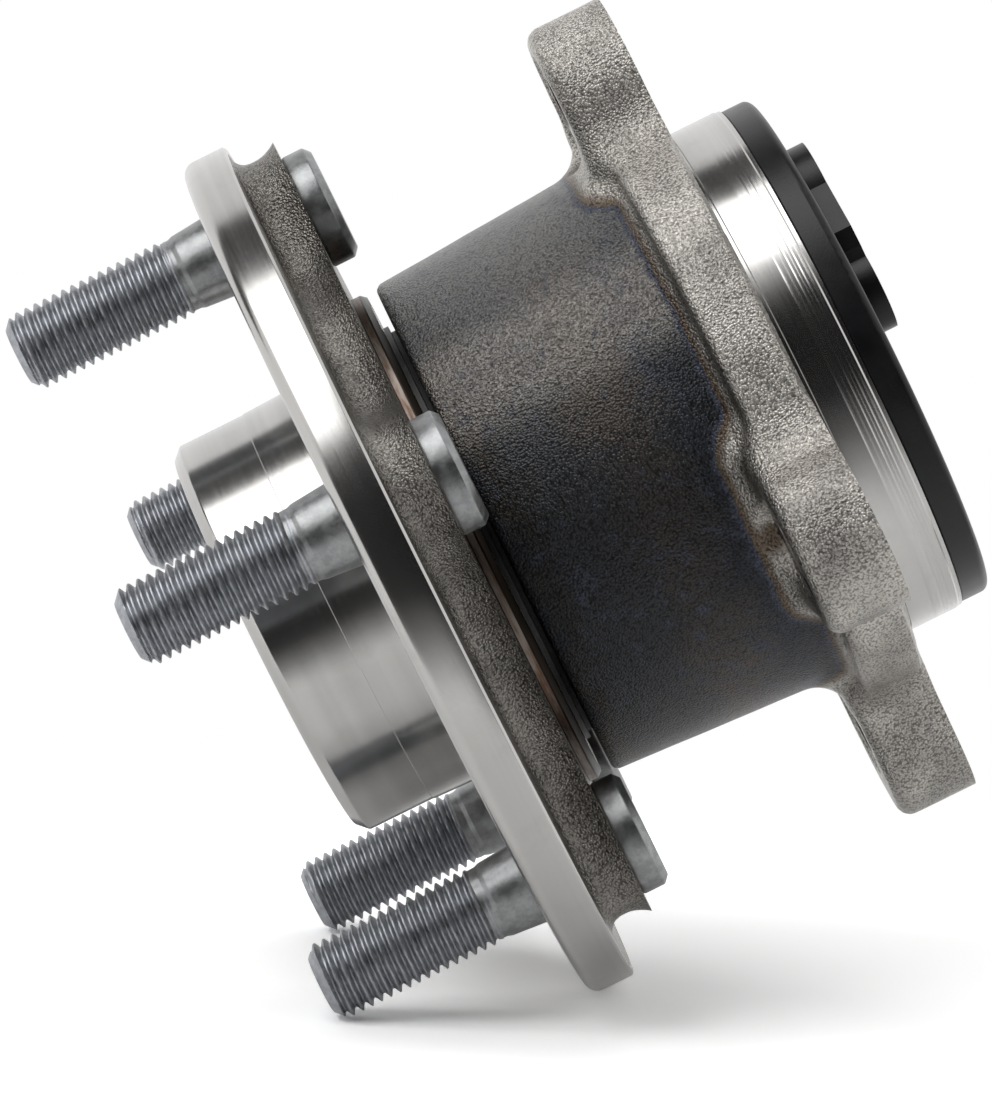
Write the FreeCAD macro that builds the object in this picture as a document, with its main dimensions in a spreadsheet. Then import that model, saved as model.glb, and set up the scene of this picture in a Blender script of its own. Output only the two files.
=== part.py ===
"""Wheel hub bearing for a non-driven wheel: hub, knuckle ring, two ball rows, seal and sensor cap.

Frame: the spin axis is Y, the wheel is on the -Y side, and +Z is up.
The origin is the centre of the hub flange's wheel face. Lengths are in millimetres.
"""

import FreeCAD
import Part
import math
import os

import Sketcher

V = FreeCAD.Vector

DRIVING_SIZES = (
    # Ball rows
    ("pitch_radius", 29.0, "radius of the ball centres"),
    ("ball_radius", 5.75, "radius of a ball"),
    ("ball_spacing", 1.0, "least half gap along the pitch circle between two balls"),
    ("ball_count", "=floor(pi * pitch_radius / (ball_radius + ball_spacing))", "balls in each row"),
    ("groove_fit", 1.04, "raceway radius as a share of the ball's, 52 percent of its diameter"),
    ("groove_radius", "=ball_radius * groove_fit", "raceway radius"),
    ("contact_angle", 36.0, "contact angle of both rows"),
    ("running_gap", 0.02, "clearance between ball and raceway"),
    ("inner_land_drop", 2.5, "high inner shoulder below the pitch circle"),
    ("inner_land_radius", "=pitch_radius - inner_land_drop", "high shoulder of both inner raceways"),
    ("inner_step_drop", 4.8, "low inner shoulder below the pitch circle"),
    ("inner_step_radius", "=pitch_radius - inner_step_drop", "low shoulder of both inner raceways"),
    ("outer_land_rise", 4.6, "low outer shoulder above the pitch circle"),
    ("outer_land_radius", "=pitch_radius + outer_land_rise", "low shoulder outside each outer raceway"),
    ("outer_rib_rise", 2.7, "middle rib above the pitch circle"),
    ("outer_rib_radius", "=pitch_radius + outer_rib_rise", "rib between the two outer raceways"),
    ("pocket_gap", 0.15, "clearance between ball and cage pocket"),
    ("cage_inner_gap", 0.8, "clearance between cage and inner shoulder"),
    ("cage_inner_radius", "=inner_land_radius + cage_inner_gap", "inside radius of a cage"),
    ("cage_outer_gap", 0.5, "clearance between cage and outer rib"),
    ("cage_outer_radius", "=outer_rib_radius - cage_outer_gap", "outside radius of a cage"),
    ("cage_web", 1.15, "cage's solid side beyond the balls"),
    ("cage_back", "=ball_radius + cage_web", "cage's solid side, from the ball centres"),
    ("cage_claw", 2.3, "cage's open side, from the ball centres"),
    # Radii of the outer ring
    ("steel_wall", 0.8, "sheet thickness of the seal's and encoder's steel"),
    ("seal_bore_step", 0.9, "seal bore above the low outer shoulder"),
    ("seal_bore_radius", "=outer_land_radius + seal_bore_step", "bore that holds the wheel-side seal"),
    ("front_wall", 5.3, "wall of the body around the seal"),
    ("ring_front_radius", "=seal_bore_radius + front_wall", "forged body radius beside the seal gap"),
    ("body_draft", 2.1, "how much the forged body widens to the flange"),
    ("ring_back_radius", "=ring_front_radius + body_draft", "forged body radius at the flange"),
    ("cap_bore_step", 1.4, "cap bore above the low outer shoulder"),
    ("cap_bore_radius", "=outer_land_radius + cap_bore_step", "bore that holds the cap sleeve"),
    ("spigot_wall", 5.6, "wall of the knuckle spigot"),
    ("knuckle_pilot_radius", "=cap_bore_radius + spigot_wall", "turned spigot that centres the knuckle"),
    ("web_step_width", 3.0, "turned step around the knuckle spigot"),
    ("web_step_radius", "=knuckle_pilot_radius + web_step_width", "radius of the web's step"),
    ("web_width", 3.2, "forged web outside that step"),
    ("web_radius", "=web_step_radius + web_width", "outer radius of the flange web"),
    # Knuckle bolts and ears
    ("knuckle_bolt_radius", 5.25, "tapping hole for the M12 knuckle bolts"),
    ("spotface_radius", 8.8, "milled seat around each knuckle bolt hole"),
    ("spotface_depth", 0.5, "depth of that seat"),
    ("spotface_gap", 0.3, "clearance between that seat and the forged body"),
    ("ear_circle", "=ring_back_radius + spotface_radius + spotface_gap", "radius of the knuckle bolts' centres"),
    ("ear_rim", 3.7, "stock around the milled seat"),
    ("ear_radius", "=spotface_radius + ear_rim", "rounded tip of an ear"),
    ("ear_flare", 7.0, "angle by which an ear widens to its root"),
    ("ear_blend", 8.0, "concave blend between an ear and the web"),
    ("ear_root", 4.5, "concave radius between body and ear"),
    ("ear_root_span", 37.0, "angle over which that root reaches around the body"),
    ("ear_edge", 2.0, "rounded forged edge of an ear"),
    ("ear_skew", 4.0, "angle of the first ear from +Z"),
    ("ear_spread", 104.0, "angle from the first ear to the second"),
    ("long_ear_extra", 3.8, "extra stock on the tip of the lower ear"),
    # Studs
    ("stud_count", 5, "number of wheel studs"),
    ("stud_radius", 5.92, "outside radius of the M12 thread"),
    ("stud_reach", 33.4, "how far a stud stands out of the wheel face"),
    ("stud_lead", 1.3, "lead-in cone on the stud's tip"),
    ("shank_length", 7.0, "plain shank between wheel face and thread"),
    ("shank_flare", 0.28, "how much the shank widens to the wheel face"),
    ("shank_radius", "=stud_radius + shank_flare", "radius of the shank at the wheel face"),
    ("knurl_step", 0.15, "knurl above the shank"),
    ("knurl_radius", "=shank_radius + knurl_step", "knurled shank pressed into the flange"),
    ("knurl_start", 0.5, "distance of the knurl behind the wheel face"),
    ("stud_head_rim", 2.55, "head's underside around the knurl"),
    ("stud_head_radius", "=knurl_radius + stud_head_rim", "radius of the round stud head"),
    ("stud_head_height", 4.4, "height of the stud head"),
    ("stud_head_edge", 1.2, "chamfer around the head's free face"),
    ("stud_head_break", 0.5, "chamfer around the head's underside"),
    # Hub flange and pilot
    ("shoulder_inset", 0.2, "hub shoulder below the ring's front"),
    ("shoulder_radius", "=ring_front_radius - shoulder_inset", "turned shoulder beside the seal gap"),
    ("stud_head_gap", 5.5, "clearance between shoulder and stud heads"),
    ("stud_circle", "=2 * (shoulder_radius + stud_head_gap + stud_head_radius)", "pitch circle of the wheel studs"),
    ("lobe_rim", 2.5, "forging around a stud head"),
    ("lobe_radius", "=stud_head_radius + lobe_rim", "radius of a lobe around its stud"),
    ("lobe_inset", 3.0, "forged boss between two lobes, inside the stud circle"),
    ("boss_core_radius", "=stud_circle / 2 - lobe_inset", "forged boss between two lobes"),
    ("lobe_blend", 9.0, "concave blend between a lobe and the boss"),
    ("rim_ledge", 2.6, "turned rim outside the lobes"),
    ("rim_radius", "=stud_circle / 2 + lobe_radius + rim_ledge", "outer radius of the turned hub flange"),
    ("rim_thickness", 7.2, "axial thickness of the turned rim"),
    ("rim_chamfer", 1.0, "chamfer on the rim's wheel side"),
    ("rim_back_chamfer", 0.4, "broken edge on the rim's bearing side"),
    ("boss_cove", 1.4, "cove between the rim and the forged boss"),
    ("pilot_offset", 7.6, "brake spigot below the shoulder"),
    ("brake_pilot_radius", "=shoulder_radius - pilot_offset", "spigot that centres the brake disc"),
    ("brake_pilot_length", 7.0, "axial length of the brake spigot"),
    ("pilot_step", 0.4, "wheel spigot below the brake spigot"),
    ("wheel_pilot_radius", "=brake_pilot_radius - pilot_step", "spigot that centres the wheel"),
    ("pilot_length", 20.0, "how far the spigot stands out of the wheel face"),
    ("pilot_chamfer", 1.6, "lead-in chamfer on the spigot"),
    ("pilot_wall", 6.1, "wall of the spigot at its free end"),
    ("recess_mouth_radius", "=wheel_pilot_radius - pilot_wall", "mouth of the recess inside the spigot"),
    ("recess_draft", 5.5, "how much the recess narrows to its floor"),
    ("recess_floor_radius", "=recess_mouth_radius - recess_draft", "floor of that recess"),
    ("recess_floor", 3.0, "depth of the recess floor behind the wheel face"),
    # Axial places
    ("boss_height", 6.6, "forged lobes behind the rim"),
    ("boss_face", "=rim_thickness + boss_height", "bearing-side face of the forged lobes"),
    ("shoulder_height", 2.2, "turned shoulder behind the lobes"),
    ("shoulder_face", "=boss_face + shoulder_height", "bearing-side face of that shoulder"),
    ("shoulder_chamfer", 0.5, "edge of that shoulder"),
    ("seal_gap", 1.6, "gap between hub shoulder and outer ring"),
    ("ring_front", "=shoulder_face + seal_gap", "outer ring's face beside the seal gap"),
    ("ring_front_edge", 1.2, "rounded edge of that face"),
    ("seal_depth", 7.2, "depth of the seal bore"),
    ("seal_bore_end", "=ring_front + seal_depth", "end of the seal bore"),
    ("row_inset", 8.7, "wheel-side row behind the seal bore"),
    ("outboard_row", "=seal_bore_end + row_inset", "axial place of the wheel-side row"),
    ("row_spacing", 24.0, "distance between the two rows"),
    ("inboard_row", "=outboard_row + row_spacing", "axial place of the knuckle-side row"),
    ("inner_ring_lead", 6.5, "inner ring's small end in front of its row"),
    ("inner_ring_front", "=inboard_row - inner_ring_lead", "inner ring's small end, against the hub"),
    ("inner_ring_tail", 10.9, "inner ring's large end behind its row"),
    ("inner_ring_back", "=inboard_row + inner_ring_tail", "inner ring's large end, under the formed lip"),
    ("flange_offset", 7.8, "knuckle face behind the knuckle-side row"),
    ("knuckle_face", "=inboard_row + flange_offset", "machined flange face against the knuckle"),
    ("web_step_height", 0.4, "turned step in front of the knuckle face"),
    ("web_back", "=knuckle_face - web_step_height", "where the web steps in towards the knuckle"),
    ("web_depth", 9.1, "thickness of the forged web"),
    ("web_front", "=web_back - web_depth", "flange web's face between the ears, wheel side"),
    ("web_root", 3.0, "concave radius between body and web"),
    ("web_edge", 1.5, "rounded edge of the web"),
    ("ear_depth", 12.1, "thickness of an ear"),
    ("ear_front", "=knuckle_face - ear_depth", "forged wheel-side face of the ears"),
    ("spigot_length", 9.1, "length of the knuckle spigot"),
    ("ring_back", "=knuckle_face + spigot_length", "outer ring's face under the cap"),
    ("ring_back_chamfer", 0.4, "broken edges of that face"),
    ("knuckle_relief", 0.35, "depth of the relief groove in the flange face around the spigot"),
    ("relief_width", 1.0, "width of that groove"),
    ("cap_bore_depth", 7.9, "depth of the cap bore"),
    ("cap_bore_start", "=ring_back - cap_bore_depth", "start of the cap bore"),
    # Spindle and separate inner ring
    ("inner_ring_wall", 4.7, "wall of the inner ring at its small end"),
    ("seat_radius", "=inner_step_radius - inner_ring_wall", "spindle seat of the separate inner ring"),
    ("inner_ring_edge", 1.0, "chamfers of the inner ring's bore"),
    ("inner_ring_break", 0.5, "chamfer of the inner ring's large end"),
    ("lip_inset", 1.7, "formed lip inside the inner ring's shoulder"),
    ("lip_radius", "=inner_land_radius - lip_inset", "outside radius of the formed lip"),
    ("lip_height", 4.0, "axial height of the formed lip"),
    ("lip_edge", 0.8, "outer slope of the formed lip"),
    ("lip_crown", 2.2, "flat top of the formed lip, in from its outside"),
    ("lip_wall", 5.5, "wall of the spindle around its hollow end"),
    ("lip_bore_radius", "=seat_radius - lip_wall", "hollow of the formed spindle end"),
    ("lip_bore_edge", 1.5, "chamfer of that hollow"),
    ("lip_bore_draft", 1.0, "draft of that hollow"),
    ("lip_bore_depth", 14.0, "depth of that hollow"),
    ("lip_bore_tip", 4.0, "cone at the bottom of that hollow"),
    # Wheel-side seal
    ("slinger_seat", 0.1, "slinger's outer face behind the shoulder"),
    ("slinger_face", "=shoulder_face + slinger_seat", "slinger's outer face in the seal gap"),
    ("slinger_sleeve", 7.1, "length of the slinger's sleeve"),
    ("slinger_sleeve_end", "=slinger_face + slinger_sleeve", "end of the slinger's sleeve on the hub"),
    ("slinger_gap", 0.7, "clearance between slinger and seal bore"),
    ("slinger_radius", "=seal_bore_radius - slinger_gap", "outside radius of the slinger"),
    ("casing_inset", 0.4, "seal casing inside the ring's front"),
    ("casing_front", "=ring_front + casing_inset", "free edge of the seal casing"),
    ("casing_flange", 4.2, "width of the casing's flange"),
    ("casing_inner_radius", "=seal_bore_radius - casing_flange", "inside radius of the casing's flange"),
    ("lip_gap", 0.08, "running clearance of the rubber lips"),
    ("rubber_wall", 0.9, "thickness of the rubber on the casing"),
    ("rubber_inset", 0.4, "rubber inside the casing's free edge"),
    ("rubber_nose", 0.1, "nose of the rubber inside that edge"),
    ("rubber_edge", 0.8, "inner edge of the rubber inside that edge"),
    ("lip_tip", 0.2, "width of the sleeve lip's tip"),
    # Encoder
    ("encoder_offset", 1.0, "magnetic ring's face behind the inner ring"),
    ("encoder_face", "=inner_ring_back + encoder_offset", "magnetic ring's reading face"),
    ("encoder_thickness", 1.0, "thickness of the magnetic ring"),
    ("encoder_gap", 0.4, "clearance between encoder and cap sleeve"),
    ("encoder_radius", "=cap_bore_radius - steel_wall - encoder_gap", "outside radius of the encoder"),
    ("encoder_step", 0.3, "magnetic ring outside its carrier's sleeve"),
    ("encoder_inner_radius", "=inner_land_radius + steel_wall + encoder_step", "inside radius of the magnetic ring"),
    ("encoder_sleeve", 3.6, "length of the carrier's sleeve on the inner ring"),
    # Sensor cap
    ("cap_inset", 0.45, "cap inside the knuckle spigot"),
    ("cap_radius", "=knuckle_pilot_radius - cap_inset", "outside radius of the plastic cap"),
    ("cap_height", 4.7, "cap's back above the ring's end face"),
    ("cap_back", "=ring_back + cap_height", "flat back of the cap"),
    ("cap_edge", 1.2, "rounded back edge of the cap"),
    ("cap_break", 0.3, "broken edge of the cap's seat"),
    ("cap_plate", 3.0, "thickness of the cap's plate"),
    ("cap_spigot_wall", 2.1, "wall of the cap's spigot with its steel sleeve"),
    ("cap_cavity_radius", "=cap_bore_radius - cap_spigot_wall", "inside radius of the cap's spigot"),
    ("cap_cavity_edge", 0.6, "slope inside the cap"),
    ("sleeve_offset", 1.0, "cap sleeve's front edge behind the encoder's face"),
    ("sleeve_front", "=encoder_face + sleeve_offset", "front edge of the cap's steel sleeve"),
    ("sleeve_lead", 0.4, "steel sleeve in front of the cap's spigot"),
    ("sleeve_anchor", 1.6, "how deep the steel sleeve is moulded in"),
    ("ring_groove_step", 2.8, "middle of the seal groove outside the cap bore"),
    ("ring_groove_radius", "=cap_bore_radius + ring_groove_step", "middle radius of the cap's seal groove"),
    ("ring_section", 0.8, "section radius of the cap's seal ring"),
    ("ring_groove_gap", 0.05, "clearance of the seal ring in its groove"),
    ("boss_rise", 3.0, "height of the sensor boss above the cap's back"),
    ("sensor_bore_radius", 4.6, "bore for the speed sensor's probe"),
    ("sensor_inset", 0.3, "sensor bore inside the cap's cavity"),
    ("sensor_turn", 32.0, "angle of the line through the sensor bore from +Z"),
    ("sensor_z", "=cap_cavity_radius - sensor_bore_radius - sensor_inset", "sensor bore along that line"),
    ("sensor_wall", 4.0, "boss around the sensor bore"),
    ("sensor_lobe_radius", "=sensor_bore_radius + sensor_wall", "radius of the boss around the sensor bore"),
    ("insert_bore_radius", 2.5, "tapping bore of the brass insert"),
    ("insert_wall", 1.1, "wall of the brass insert"),
    ("insert_radius", "=insert_bore_radius + insert_wall", "outside radius of the brass insert"),
    ("insert_length", 4.8, "length of the brass insert"),
    ("screw_wall", 2.8, "boss around the brass insert"),
    ("screw_lobe_radius", "=insert_radius + screw_wall", "radius of the boss around the insert"),
    ("screw_x", 16.0, "sensor's screw beside that line"),
    ("screw_drop", 5.9, "sensor's screw nearer to the axis along that line"),
    ("screw_z", "=sensor_z - screw_drop", "sensor's screw along that line"),
    ("rib_width", 2.2, "width of the stop rib beside the sensor"),
    ("dish_rim", 6.65, "flat rim around the cap's dish"),
    ("dish_radius", "=cap_radius - dish_rim", "shallow dish in the cap's back"),
    ("dish_depth", 0.8, "depth of that dish"),
    # Overlaps of cutting tools and joined forms
    ("overcut", 1.0, "how far a cut starts or ends outside the solid"),
    ("root_sink", 2.5, "how deep the ears' outlines reach inside the outer shoulder's wall"),
    ("bore_stock", 1.5, "stock left inside the ears before the ring is turned"),
    ("cove_sink", 0.3, "how deep a cove's outline starts inside the body"),
    ("cove_stock", 2.0, "inner side of a cove's outline outside the low shoulder"),
)


class Size:
    """A length or angle that carries the spreadsheet expression it comes from."""

    def __init__(self, value, text):
        self.value = value
        self.text = text

    @staticmethod
    def of(number):
        return number if isinstance(number, Size) else Size(number, repr(number))

    def __add__(self, other):
        other = Size.of(other)
        return Size(self.value + other.value, f"({self.text} + {other.text})")

    def __sub__(self, other):
        other = Size.of(other)
        return Size(self.value - other.value, f"({self.text} - {other.text})")

    def __mul__(self, other):
        other = Size.of(other)
        return Size(self.value * other.value, f"({self.text} * {other.text})")

    def __truediv__(self, other):
        other = Size.of(other)
        return Size(self.value / other.value, f"({self.text} / {other.text})")

    def __neg__(self):
        return Size(-self.value, f"(-{self.text})")

    def sin(self):
        return Size(math.sin(math.radians(self.value)), f"sin({self.text} * 1 deg)")

    def cos(self):
        return Size(math.cos(math.radians(self.value)), f"cos({self.text} * 1 deg)")


class Sizes:
    """The driving sizes, kept in the document's spreadsheet and read back by name."""

    def __init__(self, document):
        self.sheet = document.addObject("Spreadsheet::Sheet", "dims")
        self.sheet.Label = "driving_sizes"
        for row, (alias, value, note) in enumerate(DRIVING_SIZES, start=1):
            self.sheet.set(f"A{row}", alias)
            self.sheet.set(f"B{row}", str(value))
            self.sheet.set(f"C{row}", note)
            self.sheet.setAlias(f"B{row}", alias)
            document.recompute()

    def __getattr__(self, alias):
        return Size(float(self.sheet.get(alias)), f"dims.{alias}")


def new_body(doc, label):
    """Add an empty body whose label is the name of its node."""
    body = doc.addObject("PartDesign::Body", "Body_" + label)
    body.Label = label
    return body


def origin_feature(body, role):
    """Find one of the body's own origin planes or axes."""
    return next(item for item in body.Origin.OriginFeatures if item.Role == role)


def new_sketch(body, name, role, height=None, turn=None):
    """Attach a sketch to an origin plane, at an axial height and turned about the spin axis."""
    sketch = body.newObject("Sketcher::SketchObject", name)
    sketch.AttachmentSupport = [(origin_feature(body, role), "")]
    sketch.MapMode = "FlatFace"
    if height is not None:
        sketch.setExpression("AttachmentOffset.Base.z", (-height).text)
    if turn is not None:
        sketch.setExpression("AttachmentOffset.Rotation.Angle", f"({turn.text}) * 1 deg")
    return sketch


def hold(sketch, kind, items, size, name):
    """Add one distance or radius and bind it to its size."""
    index = sketch.addConstraint(Sketcher.Constraint(kind, *items, Size.of(size).value))
    sketch.renameConstraint(index, name)
    sketch.setExpression(f"Constraints.{name}", Size.of(size).text)


def hold_point(sketch, edge, end, point, name):
    """Hold one point of the sketch by two bound distances from the origin."""
    hold(sketch, "DistanceX", (-1, 1, edge, end), point[0], name + "_x")
    hold(sketch, "DistanceY", (-1, 1, edge, end), point[1], name + "_y")


def draw_loop(sketch, points, name="p"):
    """Draw a closed outline of straight lines through bound points."""
    first = sketch.GeometryCount
    count = len(points)
    spots = [V(Size.of(x).value, Size.of(y).value, 0) for x, y in points]
    for index in range(count):
        line = Part.LineSegment(spots[index], spots[(index + 1) % count])
        sketch.addGeometry(line, False)
    for index in range(count):
        following = first + (index + 1) % count
        sketch.addConstraint(Sketcher.Constraint("Coincident", first + index, 2, following, 1))
    for index, point in enumerate(points):
        hold_point(sketch, first + index, 1, point, f"{name}{index}")


def draw_circle(sketch, centre, radius, name="c"):
    """Draw a full circle with a bound centre and radius."""
    middle = V(Size.of(centre[0]).value, Size.of(centre[1]).value, 0)
    edge = sketch.addGeometry(Part.Circle(middle, V(0, 0, 1), Size.of(radius).value), False)
    hold_point(sketch, edge, 3, centre, name)
    hold(sketch, "Radius", (edge,), radius, name + "_r")


def draw_tab(sketch, reach, radius, root, flare, name="t"):
    """Draw a tab that points along the sketch's vertical: round tip, flanks that widen to the root."""
    lean_sin = flare.sin()
    lean_cos = flare.cos()
    touch = (radius * lean_cos, reach + radius * lean_sin)
    root_x = touch[0] + (touch[1] - root) * (lean_sin / lean_cos)
    left_start = V(-root_x.value, root.value, 0)
    left_touch = V(-touch[0].value, touch[1].value, 0)
    right_touch = V(touch[0].value, touch[1].value, 0)
    right_start = V(root_x.value, root.value, 0)
    tip = V(0, (reach + radius).value, 0)
    base = sketch.addGeometry(Part.LineSegment(right_start, left_start), False)
    left = sketch.addGeometry(Part.LineSegment(left_start, left_touch), False)
    arc = sketch.addGeometry(Part.Arc(left_touch, tip, right_touch), False)
    right = sketch.addGeometry(Part.LineSegment(right_touch, right_start), False)
    hold_point(sketch, base, 1, (root_x, root), name + "a")
    hold_point(sketch, left, 1, (-root_x, root), name + "b")
    hold_point(sketch, left, 2, (-touch[0], touch[1]), name + "c")
    hold_point(sketch, right, 1, touch, name + "d")
    sketch.addConstraint(Sketcher.Constraint("Coincident", base, 2, left, 1))
    sketch.addConstraint(Sketcher.Constraint("Coincident", right, 2, base, 1))
    arc_ends = (1, 2) if sketch.getPoint(arc, 1).x > 0 else (2, 1)
    sketch.addConstraint(Sketcher.Constraint("Coincident", arc, arc_ends[0], right, 1))
    sketch.addConstraint(Sketcher.Constraint("Coincident", arc, arc_ends[1], left, 2))
    hold(sketch, "Radius", (arc,), radius, name + "_r")


def draw_cove(sketch, front, radius):
    """Draw the concave corner between the forged body and a face across the spin axis."""
    wall = d.ring_back_radius - d.cove_sink
    inside = d.outer_land_radius + d.cove_stock
    start = front - radius
    centre = V((wall + radius).value, start.value, 0)
    arc = sketch.addGeometry(
        Part.ArcOfCircle(Part.Circle(centre, V(0, 0, 1), radius.value), math.pi / 2, math.pi), False)
    corners = ((wall + radius, front), (wall + radius, front + d.overcut), (inside, front + d.overcut),
               (inside, start), (wall, start))
    spots = [V(x.value, y.value, 0) for x, y in corners]
    lines = [sketch.addGeometry(Part.LineSegment(spots[i], spots[i + 1]), False) for i in range(4)]
    for line, corner in zip(lines, corners):
        hold_point(sketch, line, 1, corner, f"w{line}")
    hold_point(sketch, lines[-1], 2, corners[-1], "w_end")
    for before, after in zip(lines, lines[1:]):
        sketch.addConstraint(Sketcher.Constraint("Coincident", before, 2, after, 1))
    sketch.addConstraint(Sketcher.Constraint("Coincident", arc, 1, lines[0], 1))
    sketch.addConstraint(Sketcher.Constraint("Coincident", arc, 2, lines[-1], 2))
    hold(sketch, "Radius", (arc,), radius, "cove")


def turn(body, name, sketch, cut=False):
    """Turn a sketch about the spin axis."""
    feature = body.newObject("PartDesign::Groove" if cut else "PartDesign::Revolution", name)
    feature.Profile = sketch
    feature.ReferenceAxis = (sketch, ["V_Axis"])
    feature.Angle = 360.0
    return feature


def revolve(body, name, points, cut=False):
    """Turn a radius and axial outline about the spin axis."""
    sketch = new_sketch(body, name + "_outline", "XY_Plane")
    draw_loop(sketch, points)
    return turn(body, name, sketch, cut)


def raceway(body, name, centre):
    """Cut a ball groove: a circle turned about the spin axis."""
    sketch = new_sketch(body, name + "_circle", "XY_Plane")
    draw_circle(sketch, centre, d.groove_radius)
    return turn(body, name, sketch, cut=True)


def extrude(body, name, sketch, length, cut=False):
    """Pad or pocket a sketch on the XZ plane towards +Y."""
    feature = body.newObject("PartDesign::Pocket" if cut else "PartDesign::Pad", name)
    feature.Profile = sketch
    feature.Reversed = not cut
    feature.setExpression("Length", length.text)
    return feature


def repeat(body, name, features, count):
    """Repeat features evenly about the spin axis."""
    pattern = body.newObject("PartDesign::PolarPattern", name)
    pattern.Originals = features
    pattern.Axis = (origin_feature(body, "Y_Axis"), [""])
    pattern.Angle = 360.0
    pattern.setExpression("Occurrences", count.text)
    body.Tip = pattern
    return pattern


def round_edges(body, name, chosen, radius):
    """Round the edges of the body's last feature that the test accepts."""
    base = body.Tip
    names = [f"Edge{i}" for i, edge in enumerate(base.Shape.Edges, start=1) if chosen(edge)]
    fillet = body.newObject("PartDesign::Fillet", name)
    fillet.Base = (base, names)
    fillet.setExpression("Radius", radius.text)
    return fillet


def is_ring(edge, radius, height):
    """Tell whether an edge is a circle about the spin axis with this radius and height."""
    curve = edge.Curve
    if not isinstance(curve, Part.Circle):
        return False
    off_axis = math.hypot(curve.Center.x, curve.Center.z)
    near = abs(curve.Radius - radius.value) < 0.02 and abs(curve.Center.y - height.value) < 0.02
    return near and off_axis < 0.02


def runs_along_axis(edge):
    """Tell whether an edge is a straight line along the spin axis."""
    if not isinstance(edge.Curve, Part.Line):
        return False
    return abs(abs(edge.Curve.Direction.y) - 1.0) < 1e-4


def lies_at(edge, height):
    """Tell whether a whole edge lies in one plane across the spin axis."""
    box = edge.BoundBox
    return abs(box.YMin - height.value) < 0.01 and abs(box.YMax - height.value) < 0.01


def mean_radius(edge):
    """Give the distance of an edge's middle from the spin axis."""
    middle = edge.valueAt(0.5 * (edge.FirstParameter + edge.LastParameter))
    return math.hypot(middle.x, middle.z)


def groove_centre(row, outward, side):
    """Place a raceway's circle so that the ball just clears it along the contact line.

    outward is +1 for the outer ring's raceways and -1 for the inner ones; side is the
    direction from the ball's centre towards the contact, along the spin axis.
    """
    offset = d.groove_radius - d.ball_radius - d.running_gap
    radial = d.pitch_radius - offset * d.contact_angle.cos() * outward
    axial = row - offset * d.contact_angle.sin() * side
    return radial, axial


def make_hub(doc):
    """Forged hub: flange, pilot, lobed boss, spindle with its own raceway and formed end."""
    body = new_body(doc, "hub_spindle")
    lip_top = d.inner_ring_back + d.lip_height
    revolve(body, "Turned_hub", (
        (0, d.recess_floor),
        (d.recess_floor_radius, d.recess_floor),
        (d.recess_mouth_radius, -d.pilot_length),
        (d.wheel_pilot_radius - d.pilot_chamfer, -d.pilot_length),
        (d.wheel_pilot_radius, d.pilot_chamfer - d.pilot_length),
        (d.wheel_pilot_radius, -d.brake_pilot_length),
        (d.brake_pilot_radius, -d.brake_pilot_length),
        (d.brake_pilot_radius, 0),
        (d.rim_radius - d.rim_chamfer, 0),
        (d.rim_radius, d.rim_chamfer),
        (d.rim_radius, d.rim_thickness - d.rim_back_chamfer),
        (d.rim_radius - d.rim_back_chamfer, d.rim_thickness),
        (d.shoulder_radius, d.rim_thickness),
        (d.shoulder_radius, d.shoulder_face - d.shoulder_chamfer),
        (d.shoulder_radius - d.shoulder_chamfer, d.shoulder_face),
        (d.inner_land_radius, d.shoulder_face),
        (d.inner_land_radius, d.outboard_row),
        (d.inner_step_radius, d.outboard_row),
        (d.inner_step_radius, d.inner_ring_front),
        (d.seat_radius, d.inner_ring_front),
        (d.seat_radius, d.inner_ring_back),
        (d.lip_radius, d.inner_ring_back),
        (d.lip_radius - d.lip_edge, lip_top - d.lip_edge),
        (d.lip_radius - d.lip_crown, lip_top),
        (d.lip_bore_radius + d.lip_bore_edge, lip_top),
        (d.lip_bore_radius, lip_top - d.lip_bore_edge),
        (d.lip_bore_radius - d.lip_bore_draft, lip_top - d.lip_bore_depth),
        (0, lip_top - d.lip_bore_depth - d.lip_bore_tip),
    ))
    raceway(body, "Outboard_inner_raceway", groove_centre(d.outboard_row, -1, -1))

    height = d.boss_face - d.rim_thickness
    core = new_sketch(body, "Boss_core_circle", "XZ_Plane", d.rim_thickness)
    draw_circle(core, (0, 0), d.boss_core_radius)
    extrude(body, "Boss_core", core, height)
    lobe = new_sketch(body, "Lobe_circle", "XZ_Plane", d.rim_thickness)
    draw_circle(lobe, (0, d.stud_circle / 2), d.lobe_radius)
    repeat(body, "Lobes", [extrude(body, "Lobe", lobe, height)], d.stud_count)
    doc.recompute()

    def between_lobes(edge):
        return runs_along_axis(edge) and d.shoulder_radius.value < mean_radius(edge) < d.rim_radius.value - 1

    round_edges(body, "Lobe_blends", between_lobes, d.lobe_blend)
    doc.recompute()

    def at_rim(edge):
        inside = d.shoulder_radius.value + 1 < mean_radius(edge) < d.rim_radius.value - 1
        return lies_at(edge, d.rim_thickness) and inside

    round_edges(body, "Boss_cove", at_rim, d.boss_cove)

    hole = new_sketch(body, "Stud_hole_circle", "XZ_Plane")
    draw_circle(hole, (0, d.stud_circle / 2), d.knurl_radius)
    cut = extrude(body, "Stud_hole", hole, d.boss_face + d.overcut, cut=True)
    repeat(body, "Stud_holes", [cut], d.stud_count)
    return body


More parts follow.
